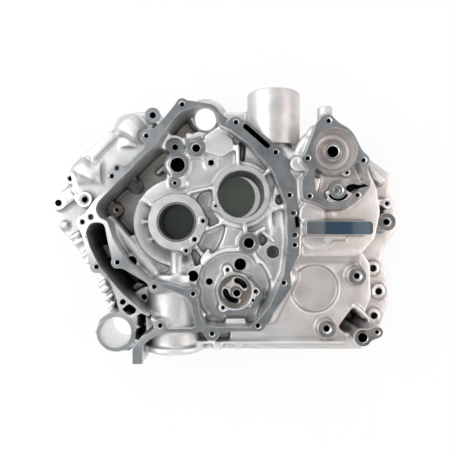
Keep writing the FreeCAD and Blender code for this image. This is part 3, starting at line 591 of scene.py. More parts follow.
# ---- machining: faces milled flat and holes with chamfers ----
rimRegion = [(-112, -3), (-94, 30), (-72, 64), (-36, 104), (-14, 118), (-2, 140), (14, 140), (44, 132),
             (64, 116),
             (84, 116), (121, 86), (119, 74), (128, 66), (126, 56), (133, 44), (134, 22), (137, 10),
             (136, -36),
             (126, -56), (128, -72), (108, -100), (98, -124), (54, -124), (48, -133), (32, -133),
             (26, -124),
             (-18, -125), (-34, -137), (-34, -160), (-50, -160), (-56, -136), (-76, -88), (-90, -58),
             (-104, -40)]
pumpRegion = [(142, 98), (157, 118), (168, 121), (179, 109), (194, 99), (206, 82), (214, 70), (209, 55),
              (215, 40),
              (206, 24), (190, 11), (166, 9), (146, 18), (133, 21), (132, 48), (139, 58), (131, 66),
              (137, 78)]
barRegion = [(138, -16), (213, -16), (213, 3), (138, 3)]
# x, y, radius, top and metal of each round machined seat
seats = [(0, 0, 32.0, 0.0, "ring"), (72.2, 31.3, 32.4, 0.0, "ring"), (0.2, 65.1, 13.6, -7.0, "rim"),
         (-4.2, 87.9, 8.6, -22.0, "rim"), (21.6, 83.5, 10.4, -4.0, "rim"), (38.3, 68.0, 6.9, -10.0, "ring"),
         (-3.0, 44.6, 6.6, -9.0, "rim"), (-76.7, 14.8, 7.8, -38.0, "film"),
         (-53.1, 43.2, 7.4, -33.0, "rough"), (171.8, 76.5, 9.4, 14.0, "rim"),
          (80.9, -23.4, 10.4, 4.0, "rim"),
         (29.8, 1.1, 5.5, 2.0, "rim"), (20.3, -19.5, 5.5, 2.0, "rim"), (10.8, -32.3, 5.5, 2.0, "rim"),
         (44.0, 17.7, 5.4, 1.0, "ring"), (65.6, -78.9, 21.6, -5.0, "ring"),
         (-73.2, -128.5, 23.4, -22.0, "rim"),
         (-29.7, 124.0, 9.3, -17.0, "rim"), (-151.5, 24.0, 8.7, -50.0, "ring"),
         (-134.3, 53.3, 6.8, -42.0, "ring"),
         (-107.4, 25.9, 9.2, -12.0, "ring"), (243.7, 0.2, 10.5, -22.0, "rough"),
         (202.5, -60.7, 10.1, 0.0, "rough"),
         (168.8, -120.2, 10.1, -2.0, "rough"), 
         (177.3, 34.7, 8.7, 13.0, "rim"), (186.6, 53.7, 4.6, 14.0, "ring"),
         (247.4, 22.3, 6.4, -30.0, "ring")]
slots = [((77.0, 105.0, 101.0, 84.0), 2.9, -40.0), ((133.0, 4.0, 134.0, -4.0), 2.2, -12.0)]
# crisp black openings, their walls painted black as shade: outline in photo pixels at height z, and the
# floor of the cut
openings = [([(122, 309), (127, 305.3), (133, 306), (136.3, 309), (135, 313), (130, 315), (125, 312)],
             coverZ, -30.0),
            ([(347.5, 188.5), (349.5, 185), (353, 183.2), (357.5, 183), (362.5, 184.2), (366.3, 186.8),
              (362, 187.8),
              (358.5, 188.4), (356, 190), (354, 192), (350.5, 192.4), (348, 190.8)], 16.0, -4.4)]
# dark crescent under the pump's seal seat, a groove with walls painted black as shade: x, y, outer and
# inner radius, start and end in degrees, low, top
sealGroove = (177.3, 34.7, 12.2, 9.6, 205, 335, 3.0, 27.0)


def leaveStock(region, top, reach=None):
    # metal for milling: the slice just under the top is repeated a little above it, inside the region
    xs, ys = [p[0] for p in region], [p[1] for p in region]
    cut, (x, y, z) = block((min(xs), min(ys), top - 2), (max(xs), max(ys), top + casting["machiningStock"]))
    under = field[cut][:, :, :1]
    inside = planDistance(region, x, y)
    raised = outside(np.maximum(under, inside), z - (top + casting["machiningStock"]))
    field[cut] = np.where(z > top - 1.5, np.minimum(field[cut], raised), field[cut])


def ringOf(x, y, r, sides=36):
    turn = np.arange(sides) * 2 * math.pi / sides
    return [(x + r * math.cos(t), y + r * math.sin(t)) for t in turn]


def twoRings(ax, ay, rA, bx, by, rB, sides=14):
    # outline round two circles and their common tangents
    turn = math.atan2(by - ay, bx - ax)
    lean = math.acos((rA - rB) / math.hypot(bx - ax, by - ay))
    arcs = [(ax, ay, rA, turn + lean, 2 * (math.pi - lean)), (bx, by, rB, turn - lean, 2 * lean)]
    return [(x + r * math.cos(start + sweep * k / sides), y + r * math.sin(start + sweep * k / sides))
            for x, y, r, start, sweep in arcs for k in range(sides + 1)]


armRegion = twoRings(204.5, -126.4, 9.9, 220.3, -120.4, 6.6)
flangeRegion = photoOutline(*pocketFills["pumpFlange"])[::-1]
footRegions = [(photoOutline(outline, -46)[::-1], -46.0) for outline in outer["footPads"]]
regions = [(rimRegion[::-1], coverZ), (pumpRegion[::-1], pumpZ), (barRegion, barZ), (armRegion, 13.0),
           (flangeRegion, -9.0)]
regions += [(ringOf(x, y, r + 0.5), top) for x, y, r, top, metal in seats]
for region, top in regions:
    leaveStock(region, top)
print("stock")

# x, y, top, radius, depth, chamfer
coverScrews = [(7, 129.7), (-32.6, 95.1), (-70.6, 50.5), (-103, 0), (-87.6, -49.6), (-64.5, -44.7),
               (-57.9, -88.1),
               (-23.8, -71.6), (19.1, -79.3), (-17.2, -114.5), (40, -123.3), (90.6, -114.5), (119.2, -67.2),
               (131.3, -25.4), (125.8, 29.6), (110.4, 76.9), (66.4, 109.9)]
roundHoles = [(x, y, coverZ, 2.5, 15, 1.0) for x, y in coverScrews]
roundHoles += [(x, y, coverZ, 2.8, 5, 0.9, "rough") for x,
               y in [(-65.1, 59.3), (-93.7, 5.4), (131.3, -14.4), (129.7, 9.8)]]
roundHoles += [(x, y, pumpZ, 2.3, 9, 1.1) for x, y in [(165.1, 107.9), (142.8, 67.9), (202.4, 65.8),
                                                       (196.0, 28.5),
                                                       (144.9, 27.5)]]
roundHoles += [(0.2, 65.1, -7, 8.3, 32, 1.0), (-4.2, 87.9, -22, 3.3, 14, 0.8),
               (21.6, 83.5, -4, 4.5, 18, 1.2),
               (38.3, 68.0, -10, 3.4, 20, 1.2), (-3.0, 44.6, -9, 2.1, 12, 0.8),
               (-76.7, 14.8, -38, 2.4, 10, 1.4),
               (-53.5, -45.5, -14, 6.2, 20, 0.3), (80.9, -23.4, 4, 5.8, 30, 1.0),
               (29.8, 1.1, 2, 2.2, 14, 1.0),
               (20.3, -19.5, 2, 2.6, 14, 0.8), (10.8, -32.3, 2, 2.2, 14, 1.0),
               (44.0, 17.7, 1, 1.6, 14, 0.6),
               (17.6, -61.8, -11, 6.2, 34, 0.4), (35.9, -69.3, -20, 3.9, 24, 0.4),
               (72.0, -49.2, -20, 6.9, 28, 0.3),
               (109.1, -34.2, -11, 7.2, 10, 0.6, "rough"), (-41.4, -88.4, -27, 3.5, 24, 0.4),
               (57.1, -54.1, -5, 2.2, 12, 0.5),
               (88.7, -78.9, -5, 2.2, 12, 1.2), (52.0, -97.0, -5, 2.2, 12, 0.4),
               (85.9, -89.1, -8, 1.7, 4, 0.6),
               (-29.7, 124.0, -17, 3.7, 62, 0.5), (-151.5, 24.0, -50, 4.1, 29, 0.4),
               (-134.3, 53.3, -42, 2.7, 16, 1.2),
               (-107.4, 25.9, -12, 3.4, 26, 2.6), (243.7, 0.2, -22, 3.7, 24, 1.8),
               (202.5, -60.7, 0, 3.4, 24, 2.2),
               (168.8, -120.2, -2, 3.6, 24, 1.8), (204.5, -126.4, 13, 5.2, 40, 0.6),
               (220.3, -120.4, 13, 2.2, 20, 1.0),
               (236.3, -56.5, -48, 4.2, 31, 0.4), (243.1, -85.0, -48, 4.2, 31, 0.4),
               (237.5, -114.8, -48, 4.2, 31, 0.4),
               (68.0, -82.9, -20, 4.1, 18, 1.4), (177.3, 34.7, 13, 4.9, 9, 1.6, "rim"),
               (186.6, 53.7, 15, 2.2, 10, 1.0),
               (171.8, 76.5, 14, 6.2, 26, 1.2), (247.4, 22.3, -30, 2.2, 16, 1.6)]
roundHoles += [(*fromPhoto(111, 176, -6), -6, 2.4, 14, 0.3), (*fromPhoto(122.5, 302, 6), 8, 2.2, 14, 0.3),
               (*fromPhoto(109, 259, -34), -34, 2.9, 12, 0.2)]


def fillHoles():
    # small holes are filled before the casting is softened, and drilled again later
    for x, y, top, r, depth, chamfer, *wall in roundHoles:
        peg(x, y, r + 1.2, top - depth - 1, top + 0.5, 0)
    for ends, half, low in slots:
        rib(*ends, half + 1.5, low - 2, coverZ + casting["machiningStock"], draft=0)


fillHoles()
points, tris, quads = toPolygons(field, casting["fillet"])
field = toArray(points, tris, quads) + np.float32(casting["fillet"])
curved = blurField(field, 2.6) - field
field = blurField(field, casting["soften"])
boxLow, boxHigh = castPoints.min(0) + casting["margin"], castPoints.max(0) - casting["margin"]
for axis in (0, 1):                                          # nothing grows past the solid's reach
    layout = [-1 if k == axis else 1 for k in range(3)]
    along = (np.arange(field.shape[axis], dtype=np.float32) + gridLow[axis]).reshape(layout)
    past = np.maximum(boxLow[axis] - along, along - boxHigh[axis])
    field = np.maximum(field, past.astype(np.float32))
points, tris, quads = toPolygons(field, 0.0)
print("softened", len(points))


def fieldMesh(name, points, tris, quads):
    mesh = bpy.data.meshes.new(name)
    mesh.vertices.add(len(points))
    mesh.vertices.foreach_set("co", (np.asarray(points, np.float64) * mm).astype(np.float32).ravel())
    loops = np.concatenate([tris.ravel(), quads.ravel()]).astype(np.int32)
    mesh.loops.add(len(loops))
    mesh.loops.foreach_set("vertex_index", loops)
    starts = np.concatenate([np.arange(len(tris)) * 3, len(tris) * 3 + np.arange(len(quads)) * 4])
    starts = starts.astype(np.int32)
    mesh.polygons.add(len(starts))
    mesh.polygons.foreach_set("loop_start", starts)
    mesh.update(calc_edges=True)
    return mesh


body = addObject("crankcaseBody", fieldMesh("crankcaseBody", points, tris, quads))
bpy.context.view_layer.objects.active = body
body.select_set(True)


def applyModifier(thing, kind, **values):
    modifier = thing.modifiers.new(kind, kind)
    for key, value in values.items():
        setattr(modifier, key, value)
    with bpy.context.temp_override(object=thing, active_object=thing, selected_objects=[thing]):
        bpy.ops.object.modifier_apply(modifier=modifier.name)


share = casting["faces"] / (len(tris) + 2 * len(quads))
applyModifier(body, "DECIMATE", ratio=share, use_collapse_triangulate=True)
print("thinned", len(body.data.polygons))


def makeCutter(name, parts):
    points, faces, metals = joinArrays(parts)
    cutter = addObject(name, makeMesh(name, points, faces, metals))
    for metal in metalNames:
        cutter.data.materials.append(bpy.data.materials[metal])
    return cutter


def combine(tool, operation):
    before = len(body.data.polygons)
    applyModifier(body, "BOOLEAN", object=tool, operation=operation, solver="MANIFOLD")
    print(operation, tool.name, before, "->", len(body.data.polygons))
    bpy.data.objects.remove(tool)


def drill(x, y, top, r, depth, chamfer, wall="hole"):
    lift = 3.0
    profile = [(0, top - depth - 0.5 * r), (r, top - depth), (r, top - chamfer), (r + chamfer, top),
               (r + chamfer, top + lift), (0, top + lift)]
    sides = 28 if r < 5 else 44
    points, faces = latheArrays(profile, (x, y, 0), sides=sides)
    # wall, chamfer, the part above the face, then the two ends
    bands = [metalOf[wall], metalOf["ring"], metalOf["ring"], metalOf[wall], metalOf["ring"]]
    return points, faces, [metal for metal in bands for side in range(sides)]


def millCutters():
    stock = casting["machiningStock"] + 2
    faces = [(rimRegion, coverZ, "rim"), (pumpRegion, pumpZ, "rim"), (barRegion, barZ, "bar"),
             (armRegion, 13.0, "rough"), (flangeRegion, -9.0, "rim")]
    faces += [(outline, -46.5, "rim") for outline, top in footRegions]
    cutters = [(*prismArrays(outline[::-1] if area(outline) < 0 else outline, top, top + stock),
                metalOf[metal])
               for outline, top, metal in faces]
    for x, y, r, top, metal in seats:
        cutters.append((*prismArrays(ringOf(x, y, r + 0.9), top, top + stock), metalOf[metal]))
    return cutters


def slotOutline(ax, ay, bx, by, half, sides=10):
    # straight slot with half-round ends
    turn = math.atan2(by - ay, bx - ax)
    ends = [(bx, by, turn - math.pi / 2), (ax, ay, turn + math.pi / 2)]
    return [(x + half * math.cos(start + math.pi * k / sides),
             y + half * math.sin(start + math.pi * k / sides))
            for x, y, start in ends for k in range(sides + 1)]


def arcOutline(x, y, outer, inner, start, end, sides=16):
    # curved slot between two radii
    turns = np.radians(np.linspace(start, end, sides + 1))
    return ([(x + outer * math.cos(t), y + outer * math.sin(t)) for t in turns]
            + [(x + inner * math.cos(t), y + inner * math.sin(t)) for t in turns[::-1]])


def area(outline):
    flat = np.asarray(outline, float)
    return 0.5 * float(np.sum(flat[:, 0] * np.roll(flat[:, 1], -1) - np.roll(flat[:, 0], -1) * flat[:, 1]))


for metal in metalNames:
    body.data.materials.append(bpy.data.materials.new(metal))
combine(makeCutter("mill", millCutters()), "DIFFERENCE")
turned = [([(0, -27), (30.5, -27), (30.5, 32.8), (29.3, 34), (0, 34)], (111, 115, -24), "y")]
spigotParts = [(*latheArrays(p, c, a, 96), metalOf["turned"]) for p, c, a in turned]
combine(makeCutter("spigotTurned", spigotParts), "UNION")
combine(makeCutter("drills", [drill(*row) for row in roundHoles]), "DIFFERENCE")

slotCutters = [(*prismArrays(slotOutline(*ends, half), low, coverZ + 3), metalOf["hole"])
               for ends, half, low in slots]
slotCutters += [(*prismArrays(photoOutline(outline, z)[::-1], low, z + 10), metalOf["hole"])
                for outline, z, low in openings]
slotCutters.append((*prismArrays(arcOutline(*sealGroove[:6]), *sealGroove[6:]), metalOf["hole"]))
combine(makeCutter("slots", slotCutters), "DIFFERENCE")

# Bores and turned seats: (r, height) profiles, all in mm
bores = [([(0, -90), (22.4, -90), (22.4, 1.2), (23.4, 2.2), (23.4, 6), (0, 6)], (0, 0, 0), "z"),
         ([(0, -90), (26.3, -90), (26.3, -1.0), (27.3, 0), (27.3, 6), (0, 6)], (72.2, 31.3, 0), "z"),
         ([(0, -90), (17.5, -90), (17.5, -23), (18.5, -22), (18.5, -19), (0, -19)], (-73.2, -128.5, 0),
          "z"),
         ([(0, -20), (19.2, -20), (19.2, -6.2), (20.4, -5), (20.4, -1), (0, -1)], (65.6, -78.9, 0), "z"),
         ([(0, -1), (24.0, -1), (24.0, 32.8), (25.4, 34.2), (25.4, 40), (0, 40)], (111, 115, -24), "y")]
boreParts = [(*latheArrays(p, c, a, 96), metalOf["ring"]) for p, c, a in bores[:3] + bores[4:]]
# painted shade: the two bearing bores are dark below their chamfer
for k in (0, 1):
    points, faces, metal = boreParts[k]
    boreParts[k] = (points, faces, [metalOf["bore"]] * 96 + [metalOf["ring"]] * (len(faces) - 96))
combine(makeCutter("bores", boreParts), "DIFFERENCE")
pumpProfile, pumpCentre, pumpAxis = bores[3]
pumpPoints, pumpFaces = latheArrays(pumpProfile, pumpCentre, pumpAxis, 96)
pumpMetals = [metalOf[m] for m in ("ring", "ring", "ring", "film", "ring") for side in range(96)]
combine(makeCutter("oilPumpSeat", [(pumpPoints, pumpFaces, pumpMetals)]), "DIFFERENCE")

# smooth shading with sharp machined edges
mesh = body.data
mesh.polygons.foreach_set("use_smooth", np.ones(len(mesh.polygons), bool))
mesh.set_sharp_from_angle(angle=math.radians(casting["sharpAngle"]))
print("body faces", len(mesh.polygons), "triangles", sum(len(p.vertices) - 2 for p in mesh.polygons))


def sampleField(array, pointsMm, step=1):
    # value of the grid at any point, blended from the eight nearest grid points
    spot = np.clip((pointsMm - gridLow) / step - (step - 1) / 2, 0, np.array(array.shape) - 1.001)
    base = spot.astype(int)
    part = spot - base
    value = np.zeros(len(spot))
    for dx in (0, 1):
        for dy in (0, 1):
            for dz in (0, 1):
                w = np.abs(1 - dx - part[:, 0]) * np.abs(1 - dy - part[:, 1]) * np.abs(1 - dz - part[:, 2])
                value += w * array[base[:, 0] + dx, base[:, 1] + dy, base[:, 2] + dz]
    return value


def crowding(pointsMm, normals):
    # share of metal in the air round each point: the solid is blurred and read above the surface
    half = (np.array(field.shape) // 2) * 2
    solid = (field[:half[0], :half[1], :half[2]] < 0).astype(np.float32)
    solid = solid.reshape(half[0] // 2, 2, half[1] // 2, 2, half[2] // 2, 2).mean((1, 3, 5))
    near, far = blurField(solid, 1.6), blurField(solid, 5.0)
    close = sampleField(near, pointsMm + 3 * normals, 2)
    wide = [sampleField(far, pointsMm + 9 * normals, 2), sampleField(far, pointsMm + [0, 0, 12], 2),
            sampleField(far, pointsMm + [0, 0, 28], 2)]
    return np.clip((close - 0.22) / 0.5, 0, 1), np.clip((sum(wide) / 3 - 0.12) / 0.5, 0, 1)


# painted shade in pits: plan outline in mm, height where the painted shade begins, strength
paintedShadePlaces = [([(-99, -2), (-79, 0), (-74, -22), (-68, -48), (-55, -53), (-38, -66), (-42, -80), (-60, -78),
                (-73, -64),
                (-85, -49), (-95, -29), (-101, -12)], 5.0, 0.92),
              ([(201, -99), (216.5, -116), (197, -130.5), (184.5, -121.5)], -12.0, 0.6),
              ([(-47, -108), (-38, -100), (-19, -112), (-20, -119), (-39, -127), (-48, -120)], 2.0, 0.8),
              (arcOutline(0, 0, 50, 34, 150, 288), 12.0, 0.38)]
# plan outline in mm and the share of the painted crease and pit shade that stays there
lessShadePlaces = [([(-42, 74), (-20, 62), (0, 96), (14, 100), (30, 104), (12, 128), (-10, 120), (-30, 104)],
                0.45),
               (ringOf(171.8, 76.5, 27), 0.15), (pumpRegion, 0.4)]


def addTone(name, values):
    mesh.attributes.new(name, "FLOAT", "POINT").data.foreach_set("value", values.astype(np.float32))


co, normals = np.empty(len(mesh.vertices) * 3, np.float32), np.empty(len(mesh.vertices) * 3, np.float32)
mesh.vertices.foreach_get("co", co)
mesh.vertex_normals.foreach_get("vector", normals)
co, normals = co.reshape(-1, 3) / mm, normals.reshape(-1, 3)
# painted shade: close darkens creases and wide darkens deep pits, by how much metal surrounds each point
close, wide = crowding(co, normals)
wide *= np.clip((-2 - co[:, 2]) / 25, 0.25, 1)               # high pits stay light
wide *= 1 - 0.75 * np.clip((co[:, 0] + 0.8 * co[:, 1] + 10) / 50, 0, 1)
close *= np.clip((9 - co[:, 2]) / 10, 0.3, 1)
for outline, top, strength in paintedShadePlaces:                    # pits that the lamps don't reach
    inside = np.clip(1 - planDistance(outline, co[:, 0], co[:, 1]) / 2.5, 0, 1)
    wide = np.maximum(wide, strength * inside * np.clip((top - co[:, 2]) / 10, 0, 1))
for outline, share in lessShadePlaces:
    inside = np.clip(0.5 - planDistance(outline, co[:, 0], co[:, 1]) / 2.5, 0, 1) * (co[:, 2] < 22.5)
    wide, close = wide * (1 - (1 - share) * inside), close * (1 - (1 - share) * inside)
inPocket = np.clip(-planDistance(rimRegion, co[:, 0], co[:, 1]) / 2, 0, 1)
# deeper floors in the pocket turn a faint brown, more so towards the bottom
addTone("deepFloorTone", 0.75 * inPocket * np.clip((-26 - co[:, 2]) / 20, 0, 1))
# curvature: convex edges are painted lighter, partly wear and partly painted highlight; hollows get painted
# shade
addTone("edgeWearSheenShade", np.clip(sampleField(curved, co), -1.5, 1.5) / 1.5)
addTone("creaseShadeTone", close)
addTone("deepShadeTone", wide)
print("tones", close.mean(), wide.mean())


# ---- materials ----
def newGroup(name, inputs, outputs):
    group = bpy.data.node_groups.new(name, "ShaderNodeTree")
    for label, kind, value in inputs:
        socket = group.interface.new_socket(label, in_out="INPUT", socket_type=kind)
        socket.default_value = value
    for label, kind in outputs:
        group.interface.new_socket(label, in_out="OUTPUT", socket_type=kind)
    return group, group.nodes.new("NodeGroupInput"), group.nodes.new("NodeGroupOutput")


def mathNode(tree, operation, a, b=None, clamp=False):
    node = tree.nodes.new("ShaderNodeMath")
    node.operation, node.use_clamp = operation, clamp
    for socket, value in zip(node.inputs, (a, b)):
        if isinstance(value, bpy.types.NodeSocket):
            tree.links.new(value, socket)
        elif value is not None:
            socket.default_value = value
    return node.outputs[0]


def noiseNode(tree, coordinate, scale, detail=3.0, roughness=0.55):
    node = tree.nodes.new("ShaderNodeTexNoise")
    node.inputs["Scale"].default_value = scale
    node.inputs["Detail"].default_value = detail
    node.inputs["Roughness"].default_value = roughness
    tree.links.new(coordinate, node.inputs["Vector"])
    return node.outputs["Fac"]


def mixColour(tree, factor, a, b, mode="MIX"):
    node = tree.nodes.new("ShaderNodeMix")
    node.data_type, node.blend_type = "RGBA", mode
    for socket, value in ((node.inputs[0], factor), (node.inputs[6], a), (node.inputs[7], b)):
        if isinstance(value, bpy.types.NodeSocket):
            tree.links.new(value, socket)
        else:
            socket.default_value = value
    return node.outputs[2]


def makeGrainGroup():
    # grain: fine noise; height: fine and wavy noise added up; stain: one broad noise
    kind = "NodeSocketFloat"
    group, source, sink = newGroup("castGrain", [("Fine", kind, 900.0), ("Broad", kind, 30.0)],
                                   [("Grain", kind), ("Stain", kind), ("Height", kind)])
    place = group.nodes.new("ShaderNodeTexCoord").outputs["Object"]
    fine = group.nodes.new("ShaderNodeTexNoise")
    broad = group.nodes.new("ShaderNodeTexNoise")
    for node, label in ((fine, "Fine"), (broad, "Broad")):
        group.links.new(place, node.inputs["Vector"])
        group.links.new(source.outputs[label], node.inputs["Scale"])
    fine.inputs["Detail"].default_value = 4.0
    fine.inputs["Roughness"].default_value = 0.65
    broad.inputs["Detail"].default_value = 3.0
    waves = noiseNode(group, place, 210.0, 2.0)
    height = mathNode(group, "ADD", mathNode(group, "MULTIPLY", fine.outputs["Fac"], 0.6),
                      mathNode(group, "MULTIPLY", waves, 0.9))
    group.links.new(fine.outputs["Fac"], sink.inputs["Grain"])
    group.links.new(broad.outputs["Fac"], sink.inputs["Stain"])
    group.links.new(height, sink.inputs["Height"])
    return group


grainGroup = makeGrainGroup()


def ramp(tree, value, stops):
    node = tree.nodes.new("ShaderNodeValToRGB")
    while len(node.color_ramp.elements) < len(stops):
        node.color_ramp.elements.new(0.5)
    for element, (place, colour) in zip(node.color_ramp.elements, stops):
        element.position = place
        element.color = (*colour, 1)
    tree.links.new(value, node.inputs[0])
    return node.outputs[0]


# dark and light: random stain tones; deep: brown of the deeper floors; warmLightTint: painted warm light;
# edge: lighter convex edges, partly wear and partly painted highlight; shade: painted shade
castLook = {"dark": (0.62, 0.625, 0.625), "light": (0.80, 0.80, 0.795), "deep": (0.40, 0.37, 0.325),
            "warmLightTint": (0.94, 0.89, 0.86),
            "edge": (0.95, 0.95, 0.95), "shade": (0.055, 0.062, 0.068), "roughness": (0.40, 0.56),
            "bump": 0.4,
            "wornAndSheen": 0.6, "sunkShade": -0.35, "creaseShade": 0.45, "pitShade": 0.75, "warmLightFrom": (0.10, 0.17)}
# colour, second colour, lowest and highest roughness, bump of each machined metal
milledLook = {"milledRim": ((0.44, 0.465, 0.47), (0.34, 0.365, 0.375), 0.26, 0.36, 0.12),
              "turnedRing": ((0.90, 0.90, 0.895), (0.78, 0.79, 0.79), 0.34, 0.44, 0.12),
              "holeShade": ((0.035, 0.033, 0.03), (0.02, 0.02, 0.02), 0.5, 0.6, 0.0),
              # mountBarReflection: its blue is a painted reflection
              "mountBarReflection": ((0.11, 0.165, 0.225), (0.20, 0.245, 0.285), 0.22, 0.34, 0.1),
              "roughPad": ((0.24, 0.235, 0.225), (0.09, 0.09, 0.09), 0.45, 0.6, 0.6),
              "oilFilm": ((0.30, 0.265, 0.22), (0.22, 0.195, 0.165), 0.35, 0.5, 0.2),
              "turnedSpigot": ((0.78, 0.765, 0.75), (0.66, 0.65, 0.64), 0.42, 0.50, 0.08),
              "boreShade": ((0.30, 0.33, 0.31), (0.26, 0.29, 0.27), 0.45, 0.6, 0.1),
              "bushSteel": ((0.45, 0.45, 0.44), (0.34, 0.34, 0.335), 0.26, 0.34, 0.1)}


# spots of the rim that catch the left lamp, in m, with their reach
rimShine = [((-0.088, 0.000), 0.058), ((-0.050, -0.095), 0.055)]
# painted light: x, y, reach and z of the lit pale side of the big bore's wall, in m
boreShine = (0.104, 0.028, 0.034, -0.03)
# painted reflection: the bar's top along X is grey at the left, reflects blue in the middle and is paler at
# the right
barSpan = (0.140, 0.071)                                     # left end and length of the bar, in m
barReflectionTones = [(0.0, (0.30, 0.31, 0.32)), (0.25, (0.38, 0.40, 0.41)), (0.30, (0.07, 0.125, 0.20)),
            (0.66, (0.06, 0.11, 0.18)),
            (0.72, (0.17, 0.24, 0.30)), (0.92, (0.20, 0.27, 0.32)), (1.0, (0.07, 0.10, 0.13))]


def nearSpot(tree, place, x, y, reach, z=0.008):
    # 1 at the spot, falling smoothly to 0 at reach
    apart = tree.nodes.new("ShaderNodeVectorMath")
    apart.operation = "DISTANCE"
    tree.links.new(place, apart.inputs[0])
    apart.inputs[1].default_value = (x, y, z)
    fall = tree.nodes.new("ShaderNodeMapRange")
    fall.interpolation_type = "SMOOTHSTEP"
    for label, value in (("From Min", 0.35 * reach), ("From Max", reach), ("To Min", 0.85),
                         ("To Max", 0.0)):
        fall.inputs[label].default_value = value
    tree.links.new(apart.outputs["Value"], fall.inputs["Value"])
    return fall.outputs[0]


def attributeNode(tree, name):
    node = tree.nodes.new("ShaderNodeAttribute")
    node.attribute_name = name
    return node.outputs["Fac"]


def finishCast(material):
    material.use_nodes = True
    tree = material.node_tree
    shader = tree.nodes["Principled BSDF"]
    shader.inputs["Metallic"].default_value = 1.0
    place = tree.nodes.new("ShaderNodeTexCoord").outputs["Object"]
    split = tree.nodes.new("ShaderNodeSeparateXYZ")
    tree.links.new(place, split.inputs[0])
    group = tree.nodes.new("ShaderNodeGroup")
    group.node_tree = grainGroup
    tone = ramp(tree, group.outputs["Stain"], [(0.32, castLook["dark"]), (0.68, castLook["light"])])
    tone = mixColour(tree, attributeNode(tree, "deepFloorTone"), tone, (*castLook["deep"], 1))
    warmLightTint = tree.nodes.new("ShaderNodeMapRange")              # painted warm light: the gear housing side is tinted warmer, where the warm right lamp falls
    for label, value in zip(("From Min", "From Max"), castLook["warmLightFrom"]):
        warmLightTint.inputs[label].default_value = value
    tree.links.new(split.outputs["X"], warmLightTint.inputs["Value"])
    tone = mixColour(tree, warmLightTint.outputs[0], tone, (*castLook["warmLightTint"], 1), "MULTIPLY")
    edge = attributeNode(tree, "edgeWearSheenShade")
    # convex edges lighter, partly wear and partly painted highlight; hollows darker, painted shade
    wornAndSheen = mathNode(tree, "MULTIPLY", mathNode(tree, "MAXIMUM", edge, 0.0), castLook["wornAndSheen"], True)
    sunkShade = mathNode(tree, "MULTIPLY", mathNode(tree, "MINIMUM", edge, 0.0), castLook["sunkShade"], True)
    tone = mixColour(tree, wornAndSheen, tone, (*castLook["edge"], 1))
    # painted shade in creases and deep pits
    creaseShade = mathNode(tree, "MULTIPLY", attributeNode(tree, "creaseShadeTone"), castLook["creaseShade"])
    pitShade = mathNode(tree, "MULTIPLY", attributeNode(tree, "deepShadeTone"), castLook["pitShade"])
    shade = mathNode(tree, "ADD", mathNode(tree, "ADD", sunkShade, creaseShade), pitShade, True)
    tone = mixColour(tree, shade, tone, (*castLook["shade"], 1))
    tree.links.new(tone, shader.inputs["Base Color"])
    low, high = castLook["roughness"]
    rough = mathNode(tree, "ADD", low, mathNode(tree, "MULTIPLY", group.outputs["Grain"], high - low))
    tree.links.new(rough, shader.inputs["Roughness"])
    bump = tree.nodes.new("ShaderNodeBump")
    bump.inputs["Strength"].default_value = castLook["bump"]
    bump.inputs["Distance"].default_value = 0.0006
    tree.links.new(group.outputs["Height"], bump.inputs["Height"])
    tree.links.new(bump.outputs[0], shader.inputs["Normal"])


def finishMilled(material, look):
    colour, second, low, high, relief = look
    material.use_nodes = True
    tree = material.node_tree
    shader = tree.nodes["Principled BSDF"]
    shader.inputs["Metallic"].default_value = 1.0
    place = tree.nodes.new("ShaderNodeTexCoord").outputs["Object"]
    # cutter marks: rings round a far point
    marks = tree.nodes.new("ShaderNodeTexWave")
    marks.wave_type, marks.rings_direction = "RINGS", "Z"
    marks.inputs["Scale"].default_value = 260.0
    marks.inputs["Distortion"].default_value = 1.5
    moved = tree.nodes.new("ShaderNodeMapping")
    moved.inputs["Location"].default_value = (0.09, 0.31, 0.0)
    tree.links.new(place, moved.inputs["Vector"])
    tree.links.new(moved.outputs[0], marks.inputs["Vector"])
    stain = noiseNode(tree, place, 70.0, 4.0)
    tone = ramp(tree, stain, [(0.35, second), (0.62, colour)])
    if material.name == "milledRim":
        for (x, y), reach in rimShine:
            tone = mixColour(tree, nearSpot(tree, place, x, y, reach), tone, (0.93, 0.935, 0.935, 1))
    # painted light: the right side of the big bore's wall is painted pale like the lit floor beyond it
    if material.name == "boreShade":
        tone = mixColour(tree, nearSpot(tree, place, *boreShine), tone, (0.78, 0.76, 0.73, 1))
    # painted reflection along the bar's top
    if material.name == "mountBarReflection":
        split = tree.nodes.new("ShaderNodeSeparateXYZ")
        tree.links.new(place, split.inputs[0])
        along = mathNode(tree, "SUBTRACT", split.outputs["X"], barSpan[0])
        along = mathNode(tree, "DIVIDE", along, barSpan[1], True)
        tone = mixColour(tree, 0.8, tone, ramp(tree, along, barReflectionTones))
    tree.links.new(tone, shader.inputs["Base Color"])
    rough = mathNode(tree, "ADD", low, mathNode(tree, "MULTIPLY", stain, high - low))
    tree.links.new(rough, shader.inputs["Roughness"])
    bump = tree.nodes.new("ShaderNodeBump")
    bump.inputs["Strength"].default_value = relief
    bump.inputs["Distance"].default_value = 0.0002
    tree.links.new(marks.outputs["Fac"], bump.inputs["Height"])
    tree.links.new(bump.outputs[0], shader.inputs["Normal"])


bushSteel = bpy.data.materials.new("bushSteel")
finishCast(bpy.data.materials["castAluminium"])
for name, look in milledLook.items():
    finishMilled(bpy.data.materials[name], look)

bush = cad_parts["crank_bush"]
if not bush.material_slots:
    bush.data.materials.append(None)
for slot in bush.material_slots:
    slot.link = "OBJECT"
    slot.material = bushSteel

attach(body, "root")
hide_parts("crankcase_casting")
print("pieces placed")

